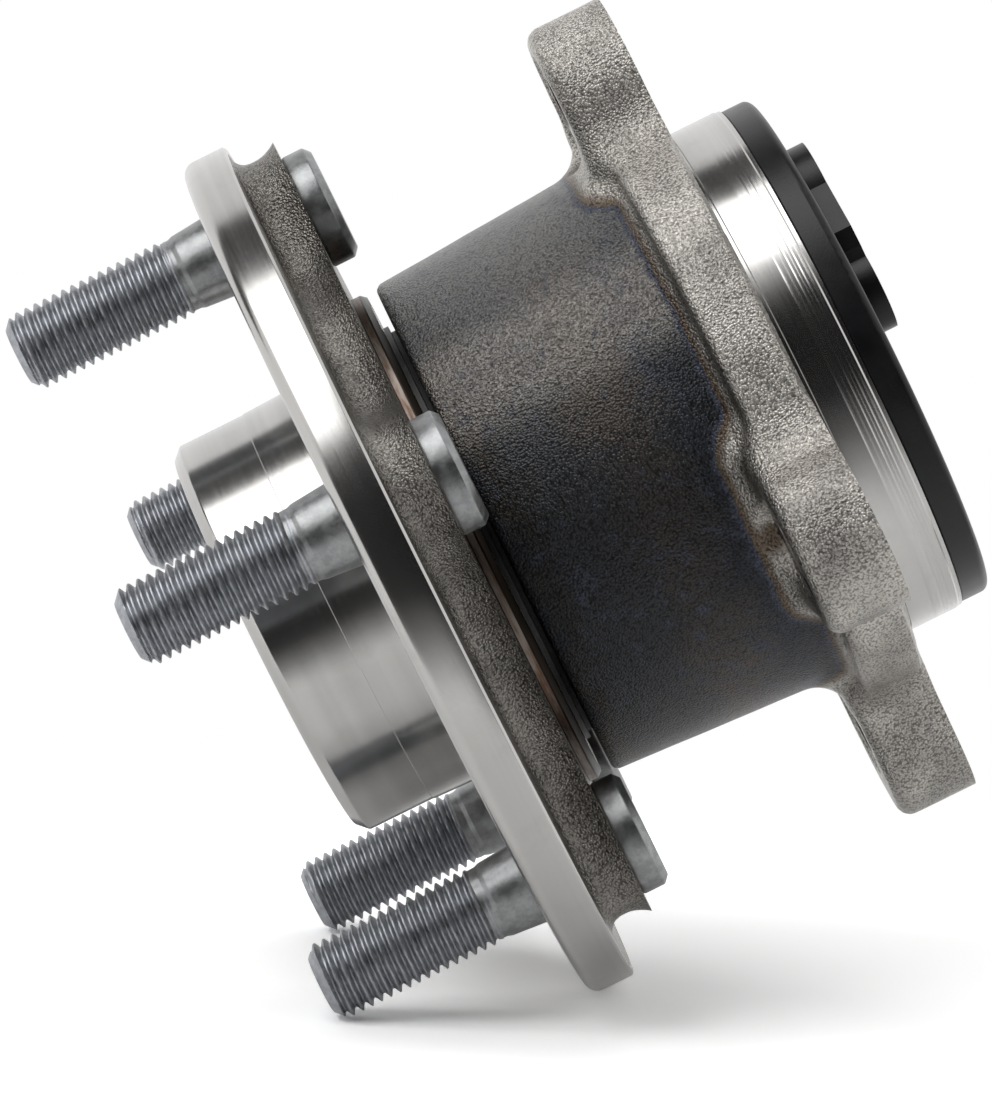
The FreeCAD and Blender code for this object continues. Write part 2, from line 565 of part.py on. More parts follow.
def make_stud(doc, number):
    """Wheel stud: round head, knurled shank pressed into the flange, threaded end."""
    body = new_body(doc, f"wheel_stud_{number}")
    head_top = d.boss_face + d.stud_head_height
    revolve(body, f"Turned_stud_{number}", (
        (0, -d.stud_reach),
        (d.stud_radius - d.stud_lead, -d.stud_reach),
        (d.stud_radius, d.stud_lead - d.stud_reach),
        (d.stud_radius, -d.shank_length),
        (d.shank_radius, 0),
        (d.knurl_radius, d.knurl_start),
        (d.knurl_radius, d.boss_face),
        (d.stud_head_radius - d.stud_head_break, d.boss_face),
        (d.stud_head_radius, d.boss_face + d.stud_head_break),
        (d.stud_head_radius, head_top - d.stud_head_edge),
        (d.stud_head_radius - d.stud_head_edge, head_top),
        (0, head_top),
    ))
    angle = Size.of(360) / d.stud_count * (number - 1)
    radius = d.stud_circle / 2
    body.setExpression("Placement.Base.x", (radius * angle.sin()).text)
    body.setExpression("Placement.Base.z", (radius * angle.cos()).text)
    return body


def ear_angles():
    """Angles of the four ears from +Z towards +X: a rectangle, turned a little."""
    first = d.ear_skew
    second = first + d.ear_spread
    return first, second, first + 180, second + 180


def draw_ear(body, name, number, height):
    """Draw one ear's outline at an axial height, turned to its own angle."""
    angle = ear_angles()[number - 1]
    reach = d.ear_circle + d.long_ear_extra if number == 3 else d.ear_circle
    sketch = new_sketch(body, name, "XZ_Plane", height, turn=-angle)
    draw_tab(sketch, reach, d.ear_radius, d.outer_land_radius + d.root_sink, d.ear_flare)
    return sketch


def make_outer_ring(doc):
    """Forged outer ring: two raceways, four-eared knuckle flange, turned knuckle spigot."""
    body = new_body(doc, "outer_ring")
    web = new_sketch(body, "Web_circle", "XZ_Plane", d.web_front)
    draw_circle(web, (0, 0), d.web_radius)
    extrude(body, "Web", web, d.web_depth)
    for number in range(1, len(ear_angles()) + 1):
        outline = draw_ear(body, f"Ear_{number}_waist_outline", number, d.web_front)
        extrude(body, f"Ear_{number}_waist", outline, d.web_depth)
    doc.recompute()

    def ear_to_web(edge):
        return runs_along_axis(edge) and abs(mean_radius(edge) - d.web_radius.value) < 0.05

    round_edges(body, "Ear_blends", ear_to_web, d.ear_blend)
    doc.recompute()
    round_edges(body, "Web_edges", lambda edge: lies_at(edge, d.web_front), d.web_edge)
    for number in range(1, len(ear_angles()) + 1):
        outline = draw_ear(body, f"Ear_{number}_outline", number, d.ear_front)
        extrude(body, f"Ear_{number}", outline, d.ear_depth)
    doc.recompute()
    round_edges(body, "Ear_edges", lambda edge: lies_at(edge, d.ear_front), d.ear_edge)
    bore = new_sketch(body, "Rough_bore_circle", "XZ_Plane", d.ear_front - d.overcut)
    draw_circle(bore, (0, 0), d.outer_land_radius + d.bore_stock)
    extrude(body, "Rough_bore", bore, d.ear_depth + d.overcut * 2, cut=True)
    revolve(body, "Turned_ring", (
        (d.seal_bore_radius, d.ring_front),
        (d.ring_front_radius, d.ring_front),
        (d.ring_back_radius, d.ear_front),
        (d.web_step_radius, d.web_back),
        (d.web_step_radius, d.knuckle_face),
        (d.knuckle_pilot_radius, d.knuckle_face),
        (d.knuckle_pilot_radius, d.ring_back - d.ring_back_chamfer),
        (d.knuckle_pilot_radius - d.ring_back_chamfer, d.ring_back),
        (d.cap_bore_radius + d.ring_back_chamfer, d.ring_back),
        (d.cap_bore_radius, d.ring_back - d.ring_back_chamfer),
        (d.cap_bore_radius, d.cap_bore_start),
        (d.outer_land_radius, d.cap_bore_start),
        (d.outer_land_radius, d.inboard_row),
        (d.outer_rib_radius, d.inboard_row),
        (d.outer_rib_radius, d.outboard_row),
        (d.outer_land_radius, d.outboard_row),
        (d.outer_land_radius, d.seal_bore_end),
        (d.seal_bore_radius, d.seal_bore_end),
    ))
    doc.recompute()
    round_edges(body, "Front_edge", lambda edge: is_ring(edge, d.ring_front_radius, d.ring_front),
                d.ring_front_edge)

    for number, angle in enumerate(ear_angles(), start=1):
        root = new_sketch(body, f"Ear_{number}_root_profile", "XY_Plane")
        root.AttachmentOffset = FreeCAD.Placement(V(0, 0, 0), FreeCAD.Rotation(V(0, 1, 0), 0))
        root.setExpression("AttachmentOffset.Rotation.Angle", f"({angle.text} - 90) * 1 deg")
        draw_cove(root, d.ear_front, d.ear_root)
        blend = turn(body, f"Ear_{number}_root", root)
        blend.Midplane = True
        blend.setExpression("Angle", d.ear_root_span.text)
    root = new_sketch(body, "Web_root_profile", "XY_Plane")
    draw_cove(root, d.web_front, d.web_root)
    turn(body, "Web_root", root)
    revolve(body, "Corner_relief", (
        (d.knuckle_pilot_radius, d.knuckle_face - d.knuckle_relief),
        (d.knuckle_pilot_radius + d.relief_width, d.knuckle_face - d.knuckle_relief),
        (d.knuckle_pilot_radius + d.relief_width, d.knuckle_face + d.overcut),
        (d.knuckle_pilot_radius, d.knuckle_face + d.overcut),
    ), cut=True)
    return body


def drill_outer_ring(doc, body):
    """Cut the raceways and the knuckle bolt holes with their milled seats."""
    raceway(body, "Outboard_outer_raceway", groove_centre(d.outboard_row, 1, 1))
    raceway(body, "Inboard_outer_raceway", groove_centre(d.inboard_row, 1, -1))
    for number, angle in enumerate(ear_angles(), start=1):
        front = d.ear_front - d.overcut
        hole = new_sketch(body, f"Bolt_hole_{number}_circle", "XZ_Plane", front, turn=-angle)
        draw_circle(hole, (0, d.ear_circle), d.knuckle_bolt_radius)
        extrude(body, f"Bolt_hole_{number}", hole, d.knuckle_face - front + d.overcut, cut=True)
        front = d.ear_front - d.ear_root
        seat = new_sketch(body, f"Bolt_seat_{number}_circle", "XZ_Plane", front, turn=-angle)
        draw_circle(seat, (0, d.ear_circle), d.spotface_radius)
        extrude(body, f"Bolt_seat_{number}", seat, d.ear_root + d.spotface_depth, cut=True)
    return body


def make_inner_ring(doc):
    """Separate inner ring of the knuckle-side row, held on the spindle by the formed lip."""
    body = new_body(doc, "inboard_inner_ring")
    revolve(body, "Turned_inner_ring", (
        (d.seat_radius + d.inner_ring_edge, d.inner_ring_front),
        (d.inner_step_radius, d.inner_ring_front),
        (d.inner_step_radius, d.inboard_row),
        (d.inner_land_radius, d.inboard_row),
        (d.inner_land_radius, d.inner_ring_back - d.inner_ring_break),
        (d.inner_land_radius - d.inner_ring_break, d.inner_ring_back),
        (d.seat_radius, d.inner_ring_back),
        (d.seat_radius, d.inner_ring_front + d.inner_ring_edge),
    ))
    raceway(body, "Inboard_inner_raceway", groove_centre(d.inboard_row, -1, 1))
    return body


def place_sphere(body, kind, name, row, radius, seam=1):
    """Add or cut one sphere centred on a ball row, its poles along X and its seam towards -Y or +Y."""
    sphere = body.newObject(kind, name)
    sphere.AttachmentSupport = [(origin_feature(body, "XY_Plane"), "")]
    sphere.MapMode = "FlatFace"
    poles_along_x = FreeCAD.Rotation(V(0, seam, 0), V(0, 0, seam), V(1, 0, 0), "ZXY")
    sphere.AttachmentOffset = FreeCAD.Placement(V(0, 0, 0), poles_along_x)
    sphere.setExpression("AttachmentOffset.Base.x", d.pitch_radius.text)
    sphere.setExpression("AttachmentOffset.Base.y", row.text)
    sphere.setExpression("Radius", radius.text)
    return sphere


def make_balls(doc, side, row):
    """One row of bearing balls, each a solid of its own."""
    body = new_body(doc, f"{side}_balls")
    body.AllowCompound = True
    ball = place_sphere(body, "PartDesign::AdditiveSphere", f"{side}_ball", row, d.ball_radius)
    doc.recompute()
    repeat(body, f"{side}_ball_row", [ball], d.ball_count)
    return body


def make_cage(doc, side, row, outward):
    """Moulded crown cage: a ring with one pocket for each ball, its solid side facing outward."""
    body = new_body(doc, f"{side}_cage")
    back = row + d.cage_back * outward
    claws = row - d.cage_claw * outward
    revolve(body, f"{side}_cage_ring", (
        (d.cage_inner_radius, claws),
        (d.cage_outer_radius, claws),
        (d.cage_outer_radius, back),
        (d.cage_inner_radius, back),
    ))
    pocket_radius = d.ball_radius + d.pocket_gap
    kind = "PartDesign::SubtractiveSphere"
    pocket = place_sphere(body, kind, f"{side}_pocket", row, pocket_radius, seam=-outward)
    doc.recompute()
    repeat(body, f"{side}_pockets", [pocket], d.ball_count)
    return body


def make_slinger(doc):
    """Steel slinger pressed on the hub in front of the wheel-side seal."""
    body = new_body(doc, "outboard_slinger")
    sleeve = d.inner_land_radius + d.steel_wall
    revolve(body, "Pressed_slinger", (
        (d.inner_land_radius, d.slinger_face),
        (d.slinger_radius, d.slinger_face),
        (d.slinger_radius, d.slinger_face + d.steel_wall),
        (sleeve, d.slinger_face + d.steel_wall),
        (sleeve, d.slinger_sleeve_end),
        (d.inner_land_radius, d.slinger_sleeve_end),
    ))
    return body


def make_seal_casing(doc):
    """Steel casing of the wheel-side seal, pressed into the outer ring."""
    body = new_body(doc, "outboard_seal_casing")
    wall = d.seal_bore_radius - d.steel_wall
    flange = d.seal_bore_end - d.steel_wall
    revolve(body, "Pressed_casing", (
        (wall, d.casing_front),
        (d.seal_bore_radius, d.casing_front),
        (d.seal_bore_radius, d.seal_bore_end),
        (d.casing_inner_radius, d.seal_bore_end),
        (d.casing_inner_radius, flange),
        (wall, flange),
    ))
    return body


def make_seal_lips(doc):
    """Rubber of the wheel-side seal: one lip against the slinger's disc, one on its sleeve."""
    body = new_body(doc, "outboard_seal_lips")
    wall = d.seal_bore_radius - d.steel_wall
    flange = d.seal_bore_end - d.steel_wall
    face = flange - d.rubber_wall
    disc = d.slinger_face + d.steel_wall + d.lip_gap
    sleeve = d.inner_land_radius + d.steel_wall + d.lip_gap
    revolve(body, "Moulded_lips", (
        (wall, flange),
        (wall, d.casing_front + d.rubber_inset),
        (wall - d.rubber_wall / 2, d.casing_front + d.rubber_nose),
        (wall - d.rubber_wall, d.casing_front + d.rubber_edge),
        (wall - d.rubber_wall, face),
        (wall - d.rubber_wall * 1.4, face),
        (wall - d.rubber_wall, disc),
        (wall - d.rubber_wall * 1.6, disc),
        (wall - d.rubber_wall * 2.6, face),
        (d.casing_inner_radius - d.rubber_wall / 2, face),
        (sleeve + d.lip_tip, flange - d.rubber_wall * 4),
        (sleeve, flange - d.rubber_wall * 3.6),
        (sleeve + d.rubber_wall, flange),
        (sleeve + d.rubber_wall * 1.5, d.seal_bore_end),
        (d.casing_inner_radius, d.seal_bore_end),
        (d.casing_inner_radius, flange),
    ))
    return body


def make_encoder_carrier(doc):
    """Steel carrier of the speed encoder, pressed on the inner ring."""
    body = new_body(doc, "encoder_carrier")
    disc_back = d.encoder_face - d.encoder_thickness
    sleeve = d.inner_land_radius + d.steel_wall
    revolve(body, "Pressed_carrier", (
        (d.inner_land_radius, disc_back - d.encoder_sleeve),
        (sleeve, disc_back - d.encoder_sleeve),
        (sleeve, disc_back - d.steel_wall),
        (d.encoder_radius, disc_back - d.steel_wall),
        (d.encoder_radius, disc_back),
        (d.inner_land_radius, disc_back),
    ))
    return body


def make_encoder_ring(doc):
    """Magnetised rubber ring that the speed sensor reads."""
    body = new_body(doc, "encoder_magnet_ring")
    revolve(body, "Moulded_encoder", (
        (d.encoder_inner_radius, d.encoder_face - d.encoder_thickness),
        (d.encoder_radius, d.encoder_face - d.encoder_thickness),
        (d.encoder_radius, d.encoder_face),
        (d.encoder_inner_radius, d.encoder_face),
    ))
    return body


def make_cap_sleeve(doc):
    """Steel sleeve moulded into the cap, pressed into the outer ring's bore."""
    body = new_body(doc, "cap_press_sleeve")
    wall = d.cap_bore_radius - d.steel_wall
    end = d.ring_back + d.sleeve_anchor
    revolve(body, "Pressed_sleeve", (
        (wall, d.sleeve_front),
        (d.cap_bore_radius, d.sleeve_front),
        (d.cap_bore_radius, end),
        (wall, end),
    ))
    return body


def make_cap(doc):
    """Black plastic sensor cap: plate, spigot, seal groove, sensor boss on its back."""
    body = new_body(doc, "sensor_cap")
    wall = d.cap_bore_radius - d.steel_wall
    inside = d.cap_back - d.cap_plate
    floor = d.cap_back - d.dish_depth
    top = d.cap_back + d.boss_rise
    revolve(body, "Cap_shell", (
        (0, inside),
        (d.cap_cavity_radius - d.cap_cavity_edge, inside),
        (d.cap_cavity_radius, inside - d.cap_cavity_edge),
        (d.cap_cavity_radius, d.sleeve_front + d.sleeve_lead),
        (wall, d.sleeve_front + d.sleeve_lead),
        (wall, d.ring_back + d.sleeve_anchor),
        (d.cap_bore_radius, d.ring_back + d.sleeve_anchor),
        (d.cap_bore_radius, d.ring_back),
        (d.cap_radius - d.cap_break, d.ring_back),
        (d.cap_radius, d.ring_back + d.cap_break),
        (d.cap_radius, d.cap_back),
        (d.dish_radius, d.cap_back),
        (d.dish_radius, floor),
        (0, floor),
    ))
    doc.recompute()
    round_edges(body, "Cap_edge", lambda edge: is_ring(edge, d.cap_radius, d.cap_back), d.cap_edge)
    half_groove = d.ring_section + d.ring_groove_gap
    groove_floor = d.ring_back + d.ring_section * 2 + d.ring_groove_gap * 2
    revolve(body, "Seal_groove", (
        (d.ring_groove_radius - half_groove, d.ring_back - d.overcut),
        (d.ring_groove_radius + half_groove, d.ring_back - d.overcut),
        (d.ring_groove_radius + half_groove, groove_floor),
        (d.ring_groove_radius - half_groove, groove_floor),
    ), cut=True)

    def boss(name, draw):
        sketch = new_sketch(body, name + "_outline", "XZ_Plane", floor, turn=-d.sensor_turn)
        draw(sketch)
        extrude(body, name, sketch, top - floor)

    boss("Sensor_lobe", lambda sketch: draw_circle(sketch, (0, d.sensor_z), d.sensor_lobe_radius))
    boss("Screw_lobe", lambda sketch: draw_circle(sketch, (d.screw_x, d.screw_z), d.screw_lobe_radius))
    lug_x = d.screw_x - d.rib_width
    lug_top = d.sensor_z + d.sensor_lobe_radius / 2
    boss("Sensor_lug", lambda sketch: draw_loop(sketch, (
        (0, d.sensor_z - d.sensor_lobe_radius),
        (d.screw_x, d.screw_z),
        (lug_x + d.rib_width * 1.7, lug_top - d.rib_width * 2.6),
        (lug_x + d.rib_width, lug_top - d.rib_width),
        (lug_x, lug_top),
        (0, d.sensor_z + d.sensor_lobe_radius - 0.4),
    )))
    rib_z = d.screw_z - d.screw_lobe_radius
    boss("Stop_rib", lambda sketch: draw_loop(sketch, (
        (d.screw_x, rib_z + d.rib_width),
        (d.screw_x - d.rib_width * 3, rib_z - d.rib_width),
        (d.screw_x - d.rib_width * 4, rib_z - d.rib_width * 3),
        (d.screw_x - d.rib_width * 5.4, rib_z - d.rib_width * 4),
        (d.screw_x - d.rib_width * 6, rib_z - d.rib_width * 3.2),
        (d.screw_x - d.rib_width * 4.6, rib_z - d.rib_width * 1.6),
        (d.screw_x - d.rib_width * 2.6, rib_z + d.rib_width * 1.4),
    )))
    bore = new_sketch(body, "Sensor_bore_circle", "XZ_Plane", inside - d.overcut, turn=-d.sensor_turn)
    draw_circle(bore, (0, d.sensor_z), d.sensor_bore_radius)
    extrude(body, "Sensor_bore", bore, top - inside + d.overcut * 2, cut=True)
    seat = new_sketch(body, "Insert_bore_circle", "XZ_Plane", top - d.insert_length, turn=-d.sensor_turn)
    draw_circle(seat, (d.screw_x, d.screw_z), d.insert_radius)
    extrude(body, "Insert_bore", seat, d.insert_length + d.overcut, cut=True)
    return body


def make_cap_ring(doc):
    """Rubber seal ring between the cap and the outer ring's end face."""
    ring = doc.addObject("Part::Torus", "Body_cap_seal_ring")
    ring.Label = "cap_seal_ring"
    ring.Placement = FreeCAD.Placement(V(0, 0, 0), FreeCAD.Rotation(V(1, 0, 0), -90))
    ring.setExpression("Radius1", d.ring_groove_radius.text)
    ring.setExpression("Radius2", d.ring_section.text)
    ring.setExpression("Placement.Base.y", (d.ring_back + d.ring_groove_gap + d.ring_section).text)
    return ring


def make_insert(doc):
    """Brass insert that takes the sensor's screw."""
    body = new_body(doc, "sensor_screw_insert")
    top = d.cap_back + d.boss_rise
    aim = -d.sensor_turn
    blank = new_sketch(body, "Insert_circle", "XZ_Plane", top - d.insert_length, turn=aim)
    draw_circle(blank, (d.screw_x, d.screw_z), d.insert_radius)
    extrude(body, "Insert_blank", blank, d.insert_length)
    start = top - d.insert_length - d.overcut
    bore = new_sketch(body, "Insert_thread_circle", "XZ_Plane", start, turn=aim)
    draw_circle(bore, (d.screw_x, d.screw_z), d.insert_bore_radius)
    extrude(body, "Insert_thread_bore", bore, d.insert_length + d.overcut * 2, cut=True)
    return body


def make_model(doc):
    """Build every piece and give the list of the objects that are written out."""
    ring = make_outer_ring(doc)
    drill_outer_ring(doc, ring)
    studs = [make_stud(doc, number) for number in range(1, int(d.stud_count.value) + 1)]
    return [
        make_hub(doc),
        *studs,
        make_inner_ring(doc),
        make_slinger(doc),
        make_encoder_carrier(doc),
        make_encoder_ring(doc),
        make_balls(doc, "outboard", d.outboard_row),
        make_cage(doc, "outboard", d.outboard_row, -1),
        make_balls(doc, "inboard", d.inboard_row),
        make_cage(doc, "inboard", d.inboard_row, 1),
        ring,
        make_seal_casing(doc),
        make_seal_lips(doc),
        make_cap_sleeve(doc),
        make_cap(doc),
        make_cap_ring(doc),
        make_insert(doc),
    ]


def check_objects(doc, nodes):
    """Stop when an object failed or a node's shape is missing or invalid."""
    failed = [item.Name for item in doc.Objects if {"Invalid", "Error"} & set(item.State)]
    if failed:
        raise RuntimeError("failed objects: " + ", ".join(failed))
    for node in nodes:
        if node.Shape.isNull() or not node.Shape.isValid() or not node.Shape.Solids:
            raise RuntimeError("bad shape: " + node.Label)


def write_nodes(nodes):
    """Write one STEP file for each node."""
    os.makedirs("parts", exist_ok=True)
    for node in nodes:
        node.Shape.exportStep(f"parts/{node.Label}.step")
        solids = len(node.Shape.Solids)
        print(f"{node.Label}: {solids} solid(s), {node.Shape.Volume / 1000:.2f} cm3")


doc = FreeCAD.newDocument("wheel_hub_bearing")
d = Sizes(doc)
nodes = make_model(doc)
doc.recompute()
check_objects(doc, nodes)
write_nodes(nodes)
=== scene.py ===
"""Looks of a wheel hub bearing for a non-driven wheel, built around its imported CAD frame.

Frame: the spin axis is Y, the wheel is on the -Y side, and +Z is up. Sizes are written in
millimetres and turned into metres when a mesh is made.
"""

import logging
import math
from collections.abc import Sequence
from dataclasses import dataclass
from enum import Enum

import bmesh
import bpy
from mathutils import Matrix, Vector, noise


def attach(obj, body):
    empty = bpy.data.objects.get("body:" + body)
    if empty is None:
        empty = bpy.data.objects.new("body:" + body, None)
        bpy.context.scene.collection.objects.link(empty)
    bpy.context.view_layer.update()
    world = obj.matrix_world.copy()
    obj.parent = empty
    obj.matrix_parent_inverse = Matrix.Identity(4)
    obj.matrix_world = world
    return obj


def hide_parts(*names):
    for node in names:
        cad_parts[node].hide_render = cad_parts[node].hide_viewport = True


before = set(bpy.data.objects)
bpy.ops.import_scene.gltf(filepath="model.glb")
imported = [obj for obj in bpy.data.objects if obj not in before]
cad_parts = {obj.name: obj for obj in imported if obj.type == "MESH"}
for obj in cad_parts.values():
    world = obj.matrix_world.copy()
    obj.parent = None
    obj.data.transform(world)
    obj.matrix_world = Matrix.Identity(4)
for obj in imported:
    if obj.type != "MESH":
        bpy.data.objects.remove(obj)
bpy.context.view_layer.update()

LOG = logging.getLogger("hub_bearing")
MM = 0.001
HUB = "hub"
RING = "outer_body"
RACEWAY_RADIUS = 5.98
TOUCHING = 1e-7
TINY = 1e-6

Colour = tuple[float, float, float]
Stops = Sequence[tuple[float, Colour]]
Profile = Sequence[tuple[float, float]]
Corners = Sequence[tuple[float, ...]]
Inputs = dict[str | int, object]
Socket = bpy.types.NodeSocket
Node = bpy.types.Node
Mesh = bpy.types.Mesh
Material = bpy.types.Material


def polar(radius: float, degrees: float, axial: float) -> Vector:
    """Give a point by its radius, its angle from +Z towards +X, and its place along the spin axis."""
    angle = math.radians(degrees)
    return Vector((radius * math.sin(angle), axial, radius * math.cos(angle)))


class Field:
    """A number that varies over space in a Geometry Nodes tree, with arithmetic to combine it."""

    def __init__(self, tree: "Tree", socket: Socket) -> None:
        """Keep the tree and the output socket that carries the number."""
        self.tree = tree
        self.socket = socket

    def math(self, operation: str, *others: "Field | float") -> "Field":
        """Apply one math node to this field.

        Args:
            operation: The node's operation.
            others: The other operands, as fields or numbers.

        Returns:
            The result as a new field.
        """
        node = self.tree.group.nodes.new("ShaderNodeMath")
        node.operation = operation
        self.tree.feed(node.inputs[0], self)
        for socket, value in zip(node.inputs[1:], others):
            self.tree.feed(socket, value)
        return Field(self.tree, node.outputs[0])

    def __add__(self, other: "Field | float") -> "Field":
        """Add."""
        return self.math("ADD", other)

    def __sub__(self, other: "Field | float") -> "Field":
        """Subtract."""
        return self.math("SUBTRACT", other)

    def __rsub__(self, other: float) -> "Field":
        """Subtract this field from a number."""
        return self.math("MULTIPLY", -1.0).math("ADD", other)

    def __mul__(self, other: "Field | float") -> "Field":
        """Multiply."""
        return self.math("MULTIPLY", other)

    def __truediv__(self, other: "Field | float") -> "Field":
        """Divide."""
        return self.math("DIVIDE", other)

    def __neg__(self) -> "Field":
        """Change the sign."""
        return self.math("MULTIPLY", -1.0)

    __radd__ = __add__
    __rmul__ = __mul__

    def least(self, other: "Field | float") -> "Field":
        """Give the smaller of two."""
        return self.math("MINIMUM", other)

    def most(self, other: "Field | float") -> "Field":
        """Give the larger of two."""
        return self.math("MAXIMUM", other)

    def beside(self, other: "Field") -> "Field":
        """Give the length of the two fields taken as a vector."""
        return (self * self + other * other).math("SQRT")

    def joined(self, other: "Field", fillet: float) -> "Field":
        """Unite two distance fields with a round fillet between them."""
        inner = (fillet - self).most(0.0).beside((fillet - other).most(0.0))
        return self.least(other).most(fillet) - inner

    def within(self, other: "Field", edge: float) -> "Field":
        """Intersect two distance fields with a rounded edge between them."""
        outer = (self + edge).most(0.0).beside((other + edge).most(0.0))
        return self.most(other).least(-edge) + outer

    def without(self, other: "Field") -> "Field":
        """Cut another distance field out of this one."""
        return self.most(-other)

    def where(self, condition: "Field", other: "Field") -> "Field":
        """Take this field where the condition is 1 and the other one where it is 0."""
        return other + (self - other) * condition


class Tree:
    """A Geometry Nodes tree under construction, with named inputs for its sizes."""

    def __init__(self, name: str) -> None:
        """Start an empty tree with one geometry output."""
        self.group = bpy.data.node_groups.new(name, "GeometryNodeTree")
        self.group.interface.new_socket("Geometry", in_out="OUTPUT", socket_type="NodeSocketGeometry")
        self.entry = self.group.nodes.new("NodeGroupInput")
        self.values: dict[str, float] = {}

    def size(self, name: str, value: float) -> Field:
        """Add a named input for one size and give it as a field."""
        socket = self.group.interface.new_socket(name, in_out="INPUT", socket_type="NodeSocketFloat")
        socket.default_value = value
        self.values[socket.identifier] = value
        return Field(self, self.entry.outputs[name])

    def feed(self, socket: Socket, value: object) -> None:
        """Link a field or socket to an input, or write a plain value on it."""
        if isinstance(value, Field):
            self.group.links.new(value.socket, socket)
        elif isinstance(value, Socket):
            self.group.links.new(value, socket)
        else:
            socket.default_value = value

    def node(self, kind: str, inputs: Inputs | None = None, **settings: object) -> Node:
        """Add a node.

        Args:
            kind: The node's type.
            inputs: Values or links for its inputs, by name or number.
            settings: Attributes to set on the node first.

        Returns:
            The new node.
        """
        made = self.group.nodes.new(kind)
        for name, value in settings.items():
            setattr(made, name, value)
        for key, value in (inputs or {}).items():
            self.feed(made.inputs[key], value)
        return made

    def position(self) -> tuple[Field, Field, Field]:
        """Give the three coordinates of the place being evaluated."""
        place = self.node("GeometryNodeInputPosition")
        parts = self.node("ShaderNodeSeparateXYZ", {0: place.outputs[0]})
        return tuple(Field(self, socket) for socket in parts.outputs)

    def uneven(self, grain: float, seed: float) -> Field:
        """Give a soft noise between -0.5 and 0.5 with the given grain size."""
        made = self.node("ShaderNodeTexNoise", {"Scale": 1.0 / grain, "Detail": 1.0, "W": seed},
                         noise_dimensions="4D")
        return Field(self, made.outputs[0]) - 0.5

    def solid(self, distance: Field, low: Sequence[float], high: Sequence[float],
              voxel: float) -> Socket:
        """Turn a distance field into a closed mesh.

        Args:
            distance: Distance to the surface, negative inside.
            low: Lowest corner of the space that is sampled.
            high: Highest corner of that space.
            voxel: Sampling step.

        Returns:
            The mesh's geometry socket.
        """
        counts = [math.ceil((top - bottom) / voxel) + 1 for bottom, top in zip(low, high)]
        cube = self.node("GeometryNodeVolumeCube", {
            "Density": -distance, "Background": -1.0, "Min": low, "Max": high,
            "Resolution X": counts[0], "Resolution Y": counts[1], "Resolution Z": counts[2]})
        skin = self.node("GeometryNodeVolumeToMesh", {"Volume": cube.outputs[0], "Threshold": 0.0})
        return skin.outputs[0]

    def mesh(self, geometry: Socket, material: Material, name: str) -> Mesh:
        """Finish the tree and turn its result into a plain mesh in metres.

        Args:
            geometry: The geometry to give out, in millimetres.
            material: Material for all of it.
            name: Name of the mesh.

        Returns:
            The evaluated mesh, with no modifier left.
        """
        small = self.node("GeometryNodeTransform", {"Geometry": geometry, "Scale": (MM, MM, MM)})
        real = self.node("GeometryNodeRealizeInstances", {"Geometry": small.outputs[0]})
        dressed = self.node("GeometryNodeSetMaterial", {"Geometry": real.outputs[0], "Material": material})
        out = self.group.nodes.new("NodeGroupOutput")
        self.group.links.new(dressed.outputs[0], out.inputs[0])
        carrier = bpy.data.objects.new(name, bpy.data.meshes.new(name))
        bpy.context.scene.collection.objects.link(carrier)
        modifier = carrier.modifiers.new("shape", "NODES")
        modifier.node_group = self.group
        for identifier, value in self.values.items():
            modifier[identifier] = value
        shaped = carrier.evaluated_get(bpy.context.evaluated_depsgraph_get())
        result = bpy.data.meshes.new_from_object(shaped)
        bpy.data.objects.remove(carrier)
        return result


